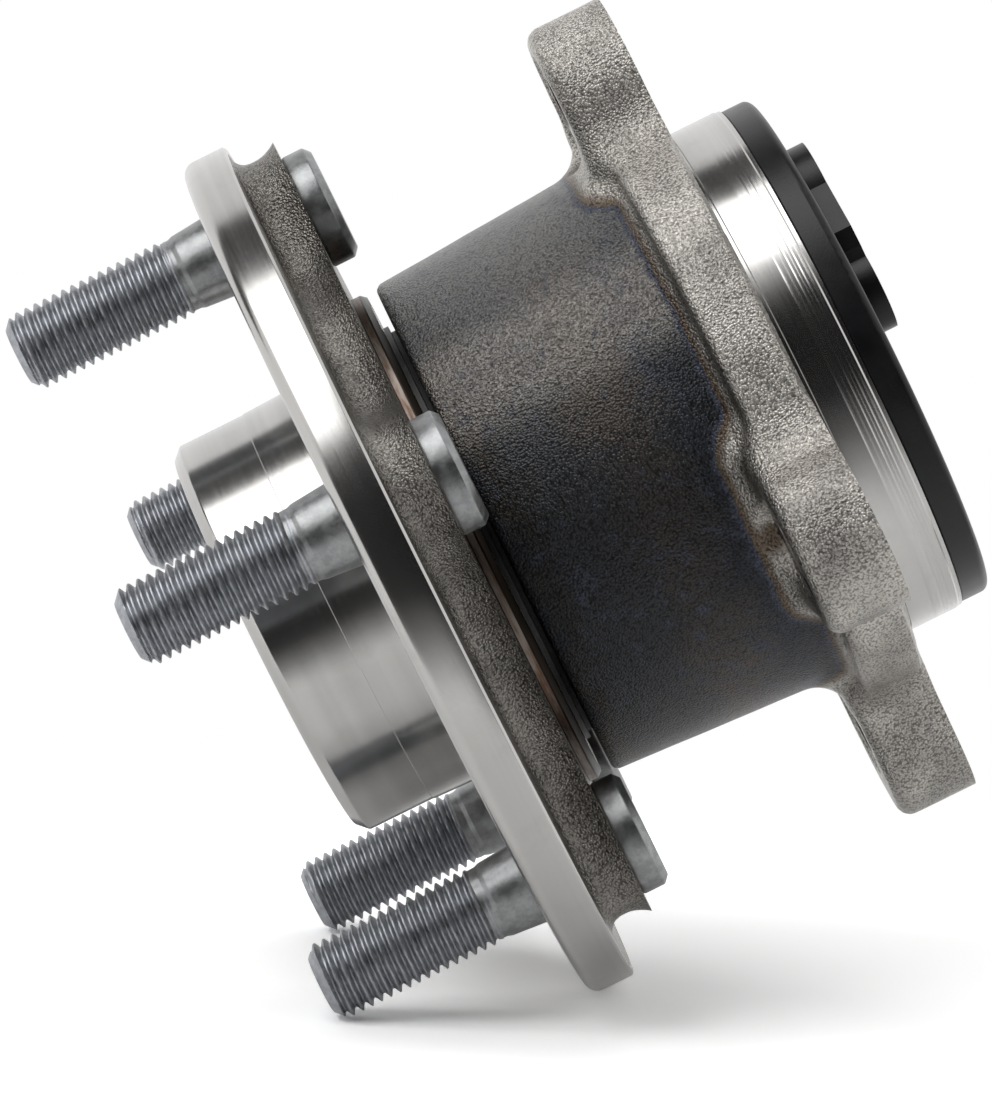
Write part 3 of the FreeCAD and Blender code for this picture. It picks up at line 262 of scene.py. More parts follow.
class Surface:
    """One procedural material while its nodes are put together. Lengths are in millimetres."""

    colour_mix_inputs = (0, 6, 7)

    def __init__(self, name: str, metallic: float, roughness: float) -> None:
        """Start a material with a plain shader and the object's own coordinates."""
        self.material = bpy.data.materials.new(name)
        self.material.use_nodes = True
        self.tree = self.material.node_tree
        self.shader = self.tree.nodes["Principled BSDF"]
        self.shader.inputs["Metallic"].default_value = metallic
        self.shader.inputs["Roughness"].default_value = roughness
        coords = self.tree.nodes.new("ShaderNodeTexCoord")
        scaled = self.node("ShaderNodeVectorMath", {0: coords.outputs["Object"]}, operation="SCALE")
        scaled.inputs["Scale"].default_value = 1.0 / MM
        self.place = scaled.outputs[0]

    def node(self, kind: str, inputs: Inputs | None = None, **settings: object) -> Node:
        """Add a node, set its attributes, and link or write its inputs."""
        made = self.tree.nodes.new(kind)
        for name, value in settings.items():
            setattr(made, name, value)
        for key, value in (inputs or {}).items():
            if isinstance(value, Socket):
                self.tree.links.new(value, made.inputs[key])
            else:
                made.inputs[key].default_value = value
        return made

    def set(self, name: str, value: object) -> None:
        """Write or link one input of the shader."""
        if isinstance(value, Socket):
            self.tree.links.new(value, self.shader.inputs[name])
        else:
            self.shader.inputs[name].default_value = value

    def math(self, operation: str, first: object, second: object = 0.0, third: object = 0.0) -> Socket:
        """Combine numbers or sockets with one math node."""
        return self.node("ShaderNodeMath", {0: first, 1: second, 2: third}, operation=operation).outputs[0]

    def step(self, value: object, low: float, high: float) -> Socket:
        """Rise smoothly from 0 at low to 1 at high."""
        return self.node("ShaderNodeMapRange", {"Value": value, "From Min": low, "From Max": high},
                         interpolation_type="SMOOTHSTEP").outputs[0]

    def band(self, value: object, low: float, high: float, soft: float) -> Socket:
        """Give 1 between low and high, fading out over the soft width on both sides."""
        up = self.step(value, low - soft, low + soft)
        down = self.step(value, high + soft, high - soft)
        return self.math("MULTIPLY", up, down)

    def noise(self, grain: float, detail: float = 2.0, rough: float = 0.5) -> Socket:
        """Give fractal noise of the given grain size in millimetres."""
        return self.node("ShaderNodeTexNoise", {
            "Vector": self.place, "Scale": 1.0 / grain, "Detail": detail, "Roughness": rough}).outputs[0]

    def ring_noise(self, grain: float, turn_length: float, detail: float, rough: float) -> Socket:
        """Give noise drawn out round the spin axis, without a seam.

        Args:
            grain: Grain size across the drawn-out direction, in millimetres.
            turn_length: How many millimetres one whole turn counts for.
            detail: Octaves of the noise.
            rough: Strength of the finer octaves.

        Returns:
            The noise.
        """
        radius, turn, axial = self.round_place()
        angle = self.math("MULTIPLY", turn, math.tau)
        reach = turn_length / math.tau
        across = self.math("MULTIPLY", self.math("SINE", angle), reach)
        along = self.math("MULTIPLY", self.math("COSINE", angle), reach)
        track = self.node("ShaderNodeCombineXYZ", {0: radius, 1: axial, 2: across}).outputs[0]
        return self.node("ShaderNodeTexNoise", {
            "Vector": track, "W": along, "Scale": 1.0 / grain, "Detail": detail, "Roughness": rough},
            noise_dimensions="4D").outputs[0]

    def cells(self, grain: float, soft: float = 0.6) -> Socket:
        """Give the distance to the nearest of many scattered points, soft between them."""
        return self.node("ShaderNodeTexVoronoi", {
            "Vector": self.place, "Scale": 1.0 / grain, "Smoothness": soft},
            feature="SMOOTH_F1").outputs["Distance"]

    def blend(self, share: object, first: object, second: object) -> Socket:
        """Mix two colours.

        Args:
            share: How much of the second colour, as a number or a link.
            first: The first colour.
            second: The second colour.

        Returns:
            The mixed colour.
        """
        made = self.node("ShaderNodeMix", data_type="RGBA")
        factor, one, other = (made.inputs[number] for number in self.colour_mix_inputs)
        for socket, value in ((factor, share), (one, first), (other, second)):
            if isinstance(value, Socket):
                self.tree.links.new(value, socket)
            elif isinstance(value, tuple):
                socket.default_value = (*value, 1.0)
            else:
                socket.default_value = value
        return made.outputs[2]

    def ramp(self, value: object, stops: Stops) -> Socket:
        """Turn a number between 0 and 1 into a colour.

        Args:
            value: The number.
            stops: Places between 0 and 1 and the colour at each.

        Returns:
            The colour.
        """
        made = self.node("ShaderNodeValToRGB", {0: value})
        elements = made.color_ramp.elements
        while len(elements) < len(stops):
            elements.new(0.5)
        for element, (at, colour) in zip(elements, stops):
            element.position = at
            element.color = (*colour, 1.0)
        return made.outputs[0]

    def relief(self, height: object, depth: float, below: object = None) -> Socket:
        """Give the shading normal of a fine relief.

        Args:
            height: The relief, about 0 to 1.
            depth: How deep 1 is.
            below: The normal of a coarser relief under it.

        Returns:
            The normal.
        """
        made = self.node("ShaderNodeBump", {"Height": height, "Distance": depth * MM, "Strength": 1.0})
        if below is not None:
            self.tree.links.new(below, made.inputs["Normal"])
        return made.outputs[0]

    def round_place(self) -> tuple[Socket, Socket, Socket]:
        """Give the radius, the angle from +Z towards +X in turns, and the axial place."""
        parts = self.node("ShaderNodeSeparateXYZ", {0: self.place})
        flat = self.node("ShaderNodeCombineXYZ", {0: parts.outputs[0], 1: 0.0, 2: parts.outputs[2]})
        radius = self.node("ShaderNodeVectorMath", {0: flat.outputs[0]}, operation="LENGTH").outputs["Value"]
        angle = self.math("ARCTAN2", parts.outputs[0], parts.outputs[2])
        return radius, self.math("DIVIDE", angle, math.tau), parts.outputs[1]


@dataclass(frozen=True)
class TemperAndPaintedLight:
    """Colours on the bearing body: heat tints along it and in lines at its root, and painted light
    and shade round it.

    The sides give a place round the axis in turns, where the band ends, where it is full, its
    share and its colour: painted shade round the side towards +X just below level, painted light
    on the top and a painted highlight about 53 degrees down towards +X. The root gives heights over
    the body where each line starts and is full.
    """

    start: float = 17.0
    length: float = 37.0
    grain: float = 9.0
    wander: float = 0.5
    along: Stops = (
        (0.0, (0.05, 0.054, 0.062)), (0.1, (0.07, 0.062, 0.054)), (0.2, (0.088, 0.09, 0.094)),
        (0.42, (0.092, 0.094, 0.098)), (0.58, (0.12, 0.106, 0.096)), (0.7, (0.11, 0.1, 0.092)),
        (0.82, (0.068, 0.073, 0.084)), (0.95, (0.058, 0.061, 0.067)))
    # Painted shade, painted light on the top and a painted highlight, each round the body.
    sides: tuple[tuple[float, float, float, float, Colour], ...] = (
        (0.29, 0.12, 0.03, 0.6, (0.02, 0.022, 0.026)),
        (0.0, 0.16, 0.03, 1.0, (0.21, 0.208, 0.204)),
        (0.147, 0.045, 0.015, 0.5, (0.34, 0.315, 0.29)))
    root: tuple[tuple[float, float, Colour], ...] = (
        (0.0, 0.16, (0.075, 0.085, 0.115)), (0.14, 0.4, (0.15, 0.112, 0.08)))
    root_grain: float = 2.4
    root_waver: float = 0.44
    cool: tuple[float, float] = (0.3, 1.3)

    def colour(self, skin: Surface, unheated: object) -> Socket:
        """Colour the forging.

        Args:
            skin: The material being built.
            unheated: Colour of the flange, which stayed cool.

        Returns:
            The colour of the whole forging.
        """
        radius, turn, axial = skin.round_place()
        cloud = skin.noise(self.grain, 4.0, 0.7)
        along = skin.math("MULTIPLY_ADD", axial, 1.0 / self.length, -self.start / self.length)
        along = skin.math("ADD", along, skin.math("MULTIPLY_ADD", cloud, self.wander, -self.wander / 2))
        colour = skin.ramp(along, self.along)
        # Paint shade round the side towards +X just below level, light on the top and a highlight about 53
        # degrees down towards +X.
        for middle, reach, full, share, heat_tint_and_painted_light in self.sides:
            off = skin.math("ABSOLUTE", skin.math("SUBTRACT", turn, middle))
            colour = skin.blend(skin.math("MULTIPLY", skin.step(off, reach, full), share), colour, heat_tint_and_painted_light)
        draft = skin.math("MULTIPLY_ADD", axial, -OuterRing.draft, OuterRing.draft * OuterRing.front)
        rise = skin.math("SUBTRACT", skin.math("ADD", radius, draft), OuterRing.front_radius)
        ripple = skin.noise(self.root_grain, 3.0, 0.6)
        ripple = skin.math("MULTIPLY_ADD", ripple, self.root_waver, -self.root_waver / 2)
        rise = skin.math("ADD", rise, ripple)
        for start, full, heat_tint_and_painted_light in self.root:
            colour = skin.blend(skin.step(rise, start, full), colour, heat_tint_and_painted_light)
        return skin.blend(skin.step(rise, *self.cool), colour, unheated)


@dataclass(frozen=True)
class ForgedSkin:
    """Shot-blasted skin of a forging with painted shade in the hollows of its grain, darkened where welding
    or hardening heat reached it, and with painted light and shade round the bearing body.
    """

    name: str
    base: Colour
    roughness: float = 0.32
    grain: float = 0.34
    depth: float = 0.17
    patch_grain: float = 9.0
    patch_shade: float = 0.62
    hollow_shade: Colour = (0.012, 0.011, 0.01)
    hollow_shade_share: float = 0.62
    gloss_change: float = 0.22
    temper_and_painted_light: TemperAndPaintedLight | None = None

    def material(self) -> Material:
        """Build the pebbled grain, painted shade in its hollows and, on the bearing body, the heat tints
        with painted light and shade.

        Returns:
            The material.
        """
        skin = Surface(self.name, 1.0, self.roughness)
        pebbles = skin.cells(self.grain)
        coarse = skin.noise(self.grain * 3.0)
        fine = skin.noise(self.grain * 0.5)
        patches = skin.noise(self.patch_grain, 3.0)
        dark = tuple(channel * self.patch_shade for channel in self.base)
        colour = skin.blend(skin.step(patches, 0.3, 0.7), dark, self.base)
        if self.temper_and_painted_light:
            colour = self.temper_and_painted_light.colour(skin, colour)
        # Painted shade: darken the hollows between the pebbles.
        hollow_shade_mask = skin.math("MULTIPLY", skin.step(pebbles, 0.3, 0.8), self.hollow_shade_share)
        skin.set("Base Color", skin.blend(hollow_shade_mask, colour, self.hollow_shade))
        change = self.gloss_change
        skin.set("Roughness", skin.math("MULTIPLY_ADD", fine, change, self.roughness - change / 2))
        height = skin.math("MULTIPLY_ADD", pebbles, -1.0, skin.math("MULTIPLY", fine, 0.6))
        grain = skin.relief(height, self.depth)
        skin.set("Normal", skin.relief(coarse, self.depth * 0.5, grain))
        return skin.material


@dataclass(frozen=True)
class TurnedSteel:
    """Steel as it comes off the lathe, with fine lines round the spin axis."""

    name: str
    base: Colour = (0.55, 0.54, 0.525)
    roughness: float = 0.15
    pitch: float = 0.34
    depth: float = 0.0008
    turn_length: float = 3.0
    broad_pitch: float = 9.0
    shade: float = 0.84
    smudge_grain: float = 8.0
    smudge_tint: Colour = (0.33, 0.32, 0.3)
    smudge_share: float = 0.25
    line_gloss: float = 0.1
    smudge_gloss: float = 0.08

    def material(self) -> Material:
        """Build the turning lines and the faint streaks and smudges between them.

        Returns:
            The material.
        """
        steel = Surface(self.name, 1.0, self.roughness)
        lines = steel.ring_noise(self.pitch, self.turn_length, 2.0, 0.6)
        broad = steel.ring_noise(self.pitch * self.broad_pitch, self.turn_length, 2.0, 0.5)
        smudge = steel.noise(self.smudge_grain, 4.0, 0.6)
        shade = tuple(channel * self.shade for channel in self.base)
        colour = steel.blend(steel.step(broad, 0.3, 0.7), shade, self.base)
        smear = steel.math("MULTIPLY", steel.step(smudge, 0.52, 0.8), self.smudge_share)
        steel.set("Base Color", steel.blend(smear, colour, self.smudge_tint))
        gloss = steel.math("MULTIPLY_ADD", lines, self.line_gloss, self.roughness - self.line_gloss / 2)
        steel.set("Roughness", steel.math("MULTIPLY_ADD", smudge, self.smudge_gloss, gloss))
        steel.set("Normal", steel.relief(lines, self.depth))
        return steel.material


@dataclass(frozen=True)
class ZincCoat:
    """Zinc flake coat on a fastener, dark and slightly blue, lighter in cloudy patches."""

    name: str
    base: Colour
    crest: Colour
    roughness: float = 0.42
    mottle: float = 1.4
    depth: float = 0.02
    speck_share: float = 0.35
    gloss_change: float = 0.3

    def material(self) -> Material:
        """Build the mottled coat.

        Returns:
            The material.
        """
        coat = Surface(self.name, 1.0, self.roughness)
        cloud = coat.noise(self.mottle, 4.0, 0.65)
        speck = coat.cells(self.mottle * 0.3, 0.4)
        colour = coat.blend(coat.step(cloud, 0.36, 0.64), self.base, self.crest)
        coat.set("Base Color", coat.blend(coat.math("MULTIPLY", speck, self.speck_share), colour, self.base))
        change = self.gloss_change
        coat.set("Roughness", coat.math("MULTIPLY_ADD", cloud, change, self.roughness - change / 2))
        height = coat.math("ADD", cloud, coat.math("MULTIPLY", speck, 0.4))
        coat.set("Normal", coat.relief(height, self.depth))
        return coat.material


@dataclass(frozen=True)
class Moulding:
    """Moulded plastic or rubber with a fine grain."""

    name: str
    base: Colour
    roughness: float = 0.42
    grain: float = 0.28
    depth: float = 0.012
    shine: float = 0.5
    cloud_grain: float = 6.0
    gloss_change: float = 0.16

    def material(self) -> Material:
        """Build the grain and the faint cloudiness of the gloss.

        Returns:
            The material.
        """
        skin = Surface(self.name, 0.0, self.roughness)
        skin.set("Specular IOR Level", self.shine)
        grain = skin.cells(self.grain, 0.5)
        cloud = skin.noise(self.cloud_grain, 3.0)
        pale = tuple(channel * 1.5 + 0.002 for channel in self.base)
        skin.set("Base Color", skin.blend(skin.step(cloud, 0.35, 0.7), self.base, pale))
        change = self.gloss_change
        skin.set("Roughness", skin.math("MULTIPLY_ADD", cloud, change, self.roughness - change / 2))
        skin.set("Normal", skin.relief(grain, self.depth))
        return skin.material


@dataclass(frozen=True)
class RustedShoulder:
    """Turned steel that has taken a thin brown film of rust, with painted shade at the foot of the boss and
    down towards the seal gap.
    """

    name: str = "shoulder_rust_and_painted_shade"
    base: Colour = (0.25, 0.215, 0.19)
    rust: Colour = (0.12, 0.072, 0.048)
    painted_gap_shade: Colour = (0.02, 0.016, 0.013)
    roughness: float = 0.36
    grain: float = 2.2
    turn_length: float = 40.0
    unshaded_span: tuple[float, float] = (13.95, 14.95)
    soft: float = 0.06
    depth: float = 0.006

    def material(self) -> Material:
        """Build the film, thicker in patches that run round the axis, and paint shade over it at the boss's
        foot and towards the seal gap.

        Returns:
            The material.
        """
        steel = Surface(self.name, 1.0, self.roughness)
        film = steel.ring_noise(self.grain, self.turn_length, 4.0, 0.7)
        colour = steel.blend(steel.step(film, 0.4, 0.62), self.base, self.rust)
        axial = steel.round_place()[2]
        # Painted shade at the boss's foot and on the chamfer that runs into the seal gap.
        shade = steel.math("SUBTRACT", 1.0, steel.band(axial, *self.unshaded_span, self.soft))
        steel.set("Base Color", steel.blend(shade, colour, self.painted_gap_shade))
        steel.set("Roughness", steel.math("MULTIPLY_ADD", film, 0.3, 0.22))
        steel.set("Normal", steel.relief(film, self.depth))
        return steel.material


class Finish(Enum):
    """The finishes of this bearing."""

    # The bearing body gets heat tints, and painted light and shade round it.
    RING_FORGING = ForgedSkin("ring_forging_skin", (0.66, 0.628, 0.582), temper_and_painted_light=TemperAndPaintedLight())
    HUB_FORGING = ForgedSkin("hub_forging_skin", (0.37, 0.35, 0.322))
    TURNED = TurnedSteel("turned_steel")
    GROUND = TurnedSteel("ground_bearing_steel", (0.66, 0.66, 0.66), 0.14, 0.1, 0.0006)
    # Painted shade: pressed steel made nearly black, as dark as the shade in the gaps where these parts sit.
    PRESSED_SHADED = TurnedSteel("pressed_steel_painted_shade", (0.07, 0.068, 0.067), 0.42, 0.3, 0.002)
    SHOULDER = RustedShoulder()
    THREAD = ZincCoat("stud_thread_zinc", (0.32, 0.33, 0.352), (0.47, 0.485, 0.51))
    HEAD = ZincCoat("stud_head_zinc", (0.27, 0.275, 0.278), (0.4, 0.408, 0.41), 0.4, 2.0, 0.02)
    CAP = Moulding("cap_black_plastic", (0.005, 0.005, 0.006), 0.32, shine=0.34)
    CAGE = Moulding("cage_polyamide", (0.32, 0.25, 0.13), 0.45)
    RUBBER = Moulding("seal_black_rubber", (0.011, 0.011, 0.012), 0.55)
    MAGNET = Moulding("encoder_magnet_rubber", (0.03, 0.024, 0.02), 0.5)
    BRASS = TurnedSteel("insert_brass", (0.78, 0.57, 0.27), 0.28, 0.15, 0.002)

    def material(self) -> Material:
        """Give the finish's material, built once."""
        found = bpy.data.materials.get(self.value.name)
        return found or self.value.material()


def rounded(corners: Corners, steps: int = 5) -> list[tuple[float, float]]:
    """Round the corners of an outline.

    Args:
        corners: Radius, axial place and, where the corner is rounded, the radius of its arc.
        steps: Straight pieces in each arc.

    Returns:
        The outline with each arc written out as points.
    """
    points: list[tuple[float, float]] = []
    count = len(corners)
    for index, corner in enumerate(corners):
        here = Vector(corner[:2])
        if len(corner) < 3:
            points.append(tuple(here))
            continue
        before = (Vector(corners[index - 1][:2]) - here).normalized()
        after = (Vector(corners[(index + 1) % count][:2]) - here).normalized()
        half = before.angle(after) / 2
        middle = here + (before + after).normalized() * (corner[2] / math.sin(half))
        start = here + before * (corner[2] / math.tan(half)) - middle
        end = here + after * (corner[2] / math.tan(half)) - middle
        for number in range(steps + 1):
            share = number / steps
            swept = start.slerp(end, share) if start.cross(end) else start
            points.append(tuple(middle + swept.normalized() * corner[2]))
    return points


def raceway(centre: tuple[float, float], angles: tuple[float, float], outward: int,
            steps: int = 12) -> list[tuple[float, float]]:
    """Give a raceway's arc.

    Args:
        centre: Radius and axial place of the arc's centre.
        angles: Its first and last angle, from the direction across the spin axis.
        outward: 1 for a race in the outer ring, -1 for one on the hub.
        steps: Straight pieces in the arc.

    Returns:
        The arc's points.
    """
    points = []
    for number in range(steps + 1):
        angle = math.radians(angles[0] + (angles[1] - angles[0]) * number / steps)
        across = centre[0] + outward * RACEWAY_RADIUS * math.cos(angle)
        points.append((across, centre[1] + RACEWAY_RADIUS * math.sin(angle)))
    return points


def turned(name: str, profile: Profile, segments: int = 192) -> Mesh:
    """Turn a closed outline about the spin axis into a closed mesh.

    Args:
        name: Name of the mesh.
        profile: Radius and axial place of each corner; one that starts and ends on the axis is capped there.
        segments: Steps round the axis.

    Returns:
        The mesh in metres, with its faces outwards.
    """
    shape = bmesh.new()
    step = 360.0 / segments
    rows = []
    for radius, axial in profile:
        count = 1 if radius < TINY else segments
        rows.append([shape.verts.new(polar(radius, number * step, axial) * MM) for number in range(count)])
    solid_core = len(rows[0]) == 1
    pairs = list(zip(rows, rows[1:])) if solid_core else list(zip(rows, rows[1:] + rows[:1]))
    for first, second in pairs:
        for number in range(segments):
            following = (number + 1) % segments
            corners = [first[number % len(first)], second[number % len(second)],
                       second[following % len(second)], first[following % len(first)]]
            unique = list(dict.fromkeys(corners))
            if len(unique) > 2:
                shape.faces.new(unique)
    return closed(shape, name)


def closed(shape: bmesh.types.BMesh, name: str) -> Mesh:
    """Turn a closed bmesh into a mesh with its faces outwards."""
    bmesh.ops.recalc_face_normals(shape, faces=shape.faces)
    mesh = bpy.data.meshes.new(name)
    shape.to_mesh(mesh)
    shape.free()
    return mesh


def cut_flat(mesh: Mesh, axial: float, side: int, slot: int) -> None:
    """Cut a mesh off flat across the spin axis and close it with a machined face.

    Args:
        mesh: The mesh to change, in metres.
        axial: Place of the cut along the spin axis, in millimetres.
        side: +1 removes what lies beyond the cut towards +Y, -1 what lies towards -Y.
        slot: Material slot of the new face.
    """
    shape = bmesh.new()
    shape.from_mesh(mesh)
    everything = shape.verts[:] + shape.edges[:] + shape.faces[:]
    bmesh.ops.bisect_plane(shape, geom=everything, plane_co=(0, axial * MM, 0),
                           plane_no=(0, side, 0), clear_outer=True, dist=TOUCHING)
    rim = [edge for edge in shape.edges if edge.is_boundary]
    filled = bmesh.ops.triangle_fill(
        shape, use_beauty=True, use_dissolve=False, edges=rim, normal=(0, side, 0))
    for face in filled["geom"]:
        if isinstance(face, bmesh.types.BMFace):
            face.material_index = slot
    bmesh.ops.recalc_face_normals(shape, faces=shape.faces)
    shape.to_mesh(mesh)
    shape.free()


def gathered(name: str, meshes: Sequence[Mesh]) -> Mesh:
    """Put several closed meshes into one, keeping their materials.

    Args:
        name: Name of the new mesh.
        meshes: The meshes, which are used up.

    Returns:
        The new mesh.
    """
    slots: list[Material] = []
    shape = bmesh.new()
    for mesh in meshes:
        start = len(shape.faces)
        numbers = []
        for material in mesh.materials:
            if material not in slots:
                slots.append(material)
            numbers.append(slots.index(material))
        shape.from_mesh(mesh)
        shape.faces.ensure_lookup_table()
        for face in shape.faces[start:]:
            face.material_index = numbers[min(face.material_index, len(numbers) - 1)]
        bpy.data.meshes.remove(mesh)
    result = bpy.data.meshes.new(name)
    shape.to_mesh(result)
    shape.free()
    for material in slots:
        result.materials.append(material)
    return result


def dressed(mesh: Mesh, *finishes: Finish) -> Mesh:
    """Give a mesh its material slots."""
    mesh.materials.clear()
    for finish in finishes:
        mesh.materials.append(finish.material())
    return mesh


class Assembly:
    """What the sub-assemblies of this bearing share: placing pieces in the frame."""

    def piece(self, name: str, mesh: Mesh, body: str, slot: str, *nodes: str,
              crease: float = 32.0) -> bpy.types.Object:
        """Show a finished mesh as one piece of the part.

        Args:
            name: Name of the piece.
            mesh: Its mesh, already in place.
            body: The body it rides on.
            slot: The record's material slot; not used.
            nodes: CAD nodes that it stands for.
            crease: Angle in degrees past which an edge stays sharp.

        Returns:
            The piece's object.
        """
        mesh.name = name
        mesh.shade_smooth()
        mesh.set_sharp_from_angle(angle=math.radians(crease))
        made = bpy.data.objects.new(name, mesh)
        bpy.context.scene.collection.objects.link(made)
        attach(made, body)
        if nodes:
            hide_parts(*nodes)
        LOG.info("%s: %d faces on %s", name, len(mesh.polygons), body)
        return made


@dataclass(frozen=True)
class OuterRing(Assembly):
    """Forged ring with four ears, turned where it meets the seal, the knuckle and the cap."""

    front: float = 17.6
    front_radius: float = 39.8
    draft: float = 0.059
    back: float = 74.4
    web_front: float = 55.8
    web_back: float = 64.9
    web_radius: float = 46.8
    step_radius: float = 43.6
    knuckle_face: float = 65.3
    spigot_radius: float = 40.6
    ear_front: float = 53.2
    ear_circle: float = 51.0
    ear_radius: float = 12.5
    ear_flare: float = 7.0
    ear_angles: tuple[float, ...] = (4.0, 108.0, 184.0, 288.0)
    long_ear: int = 2
    long_ear_extra: float = 3.8
    ear_reach: float = 25.0
    body_fillet: float = 5.2
    web_fillet: float = 3.0
    edge: float = 2.2
    front_edge: float = 1.2
    web_edge: float = 1.6
    back_edge: float = 0.8
    unevenness: float = 0.16
    uneven_grain: float = 7.0
    uneven_seed: float = 3.0
    core_radius: float = 36.6
    lap: float = 0.3
    cut_in: float = 0.1
    bolt_hole: float = 6.4
    thread_radii: tuple[float, float] = (5.9, 5.25)
    thread_pitch: float = 1.5
    seat_radius: float = 8.8
    seat_depth: float = 0.5
    raceways: tuple[tuple[tuple[float, float], tuple[float, float]], ...] = (
        ((28.83, 57.62), (37.1, -61.3)), ((28.83, 33.38), (61.3, -37.1)))
    seal_bore: Profile = ((33.6, 24.8), (34.5, 24.8))
    front_face: Profile = ((34.5, 17.75), (36.8, 17.75), (36.8, 64.2))
    step: Profile = ((43.6, 64.3), (43.6, 65.1), (43.4, 65.28), (41.7, 65.28), (41.5, 64.9), (40.7, 64.9))
    cap_bore: Profile = ((35.4, 74.4), (35.0, 74.0), (35.0, 66.5), (33.6, 66.5))
    lathe_lines: tuple[tuple[float, float, float], ...] = (
        (69.6, 0.24, 0.012), (70.3, 0.5, 0.01), (71.2, 0.2, 0.018), (71.7, 0.34, 0.012),
        (72.3, 0.22, 0.022), (72.8, 0.4, 0.014))
    space: tuple[tuple[float, ...], tuple[float, ...]] = ((-64, 16, -70), (64, 67, 66))
    voxel: float = 0.66

    def ear(self, place: tuple[Field, Field, Field], number: int) -> Field:
        """Give the outline of one ear, seen along the spin axis.

        Args:
            place: The three coordinates.
            number: Which ear.

        Returns:
            The distance to the outline.
        """
        x, _, z = place
        turn = math.radians(self.ear_angles[number])
        lean = math.radians(self.ear_flare)
        reach = self.ear_circle + (self.long_ear_extra if number == self.long_ear else 0.0)
        across = (x * math.cos(turn) - z * math.sin(turn)).math("ABSOLUTE")
        along = x * math.sin(turn) + z * math.cos(turn) - reach
        flank = across * math.cos(lean) + along * math.sin(lean)
        at_tip = (along * math.cos(lean)).math("GREATER_THAN", across * math.sin(lean))
        outline = across.beside(along).where(at_tip, flank) - self.ear_radius
        return outline.most(self.ear_reach - reach - along)

    def forging(self) -> Mesh:
        """Make the forged body, web and ears as one blended shape, cut flat where they are machined.

        Returns:
            The mesh, with the forged skin and the machined faces in two slots.
        """
        tree = Tree("outer_ring_forging")
        fillet = tree.size("Body fillet", self.body_fillet)
        web_fillet = tree.size("Web fillet", self.web_fillet)
        edge = tree.size("Forged edge", self.edge)
        x, y, z = place = tree.position()
        radius = x.beside(z)
        body = radius - (y - self.front) * self.draft - self.front_radius
        body = body.within(self.front - y, self.front_edge)
        web = (radius - self.web_radius).within(self.web_front - y, self.web_edge)
        web = web.within(y - self.web_back, self.back_edge)
        ears = self.ear(place, 0)
        for number in range(1, len(self.ear_angles)):
            ears = ears.least(self.ear(place, number))
        ears = self.rounded_ears(ears, self.ear_front - y, edge)
        shape = self.filleted(self.filleted(body, web, web_fillet), ears, fillet)
        shape = shape + tree.uneven(self.uneven_grain, self.uneven_seed) * self.unevenness
        shape = shape.without(radius - self.core_radius)
        shape = shape.without((radius - self.step_radius + self.lap).most(self.web_back - self.lap - y))
        for turn in self.ear_angles:
            angle = math.radians(turn)
            hole = (x - self.ear_circle * math.sin(angle)).beside(z - self.ear_circle * math.cos(angle))
            seat = (hole - self.seat_radius).most(y - self.ear_front - self.seat_depth)
            shape = shape.without(seat.least(hole - self.bolt_hole))
        solid = tree.solid(shape, *self.space, self.voxel)
        mesh = tree.mesh(solid, Finish.RING_FORGING.material(), "outer_ring_forging")
        mesh.materials.append(Finish.TURNED.material())
        cut_flat(mesh, self.knuckle_face, 1, 1)
        cut_flat(mesh, self.front + self.cut_in, -1, 1)
        return mesh

    @staticmethod
    def filleted(first: Field, second: Field, fillet: Field) -> Field:
        """Unite two shapes with a fillet whose radius is a named input."""
        inner = (fillet - first).most(0.0).beside((fillet - second).most(0.0))
        return first.least(second).most(fillet) - inner

    @staticmethod
    def rounded_ears(outline: Field, front: Field, edge: Field) -> Field:
        """Round the ears' front edge by a radius that is a named input."""
        outer = (outline + edge).most(0.0).beside((front + edge).most(0.0))
        return outline.most(front).least(-edge) + outer

    def turned_part(self) -> Mesh:
        """Make the machined ring: seal bore, raceways, step, relief, spigot and its end face."""
        profile = [*self.front_face, *self.step, *self.spigot_lines(), *self.cap_bore]
        for centre, angles in self.raceways:
            profile += raceway(centre, angles, 1)
        return dressed(turned("outer_ring_turned", [*profile, *self.seal_bore]), Finish.TURNED)

    def spigot_lines(self) -> list[tuple[float, float]]:
        """Give the spigot's outside, with the shallow lines that the lathe left towards the cap."""
        radius = self.spigot_radius
        points = [(radius - 0.12, 65.0), (radius - 0.12, 66.0), (radius, 66.15)]
        for start, width, depth in self.lathe_lines:
            points += [(radius, start), (radius - depth, start + width * 0.3),
                       (radius - depth, start + width * 0.7), (radius, start + width)]
        return points + [(radius, 73.6), (radius - 0.16, 73.85), (radius - 0.16, self.back)]

    def seat(self, angle: float) -> Mesh:
        """Make the milled seat and tapped hole of one ear.

        Args:
            angle: The ear's angle from +Z towards +X.

        Returns:
            The mesh, in its place.
        """
        top = self.ear_front + self.seat_depth
        face = self.knuckle_face
        root, crest = self.thread_radii
        wall = self.bolt_hole + 0.1
        rings = [(wall, top + 0.3), (wall, face - 0.4), (wall - 0.2, face - 0.02), (root, face - 0.3)]
        pitch = self.thread_pitch
        start = face - 1.0
        while start - pitch > top + 0.8:
            rings += [(root, start), (crest, start - pitch * 0.42), (crest, start - pitch * 0.58)]
            start -= pitch
        rim = self.seat_radius - 0.05
        rings += [(root, top + 0.6), (wall, top - 0.06), (rim, top - 0.06), (rim, top + 0.3)]
        mesh = dressed(turned("seat", rings, 72), Finish.TURNED)
        mesh.transform(Matrix.Translation(polar(self.ear_circle, angle, 0) * MM))
        return mesh

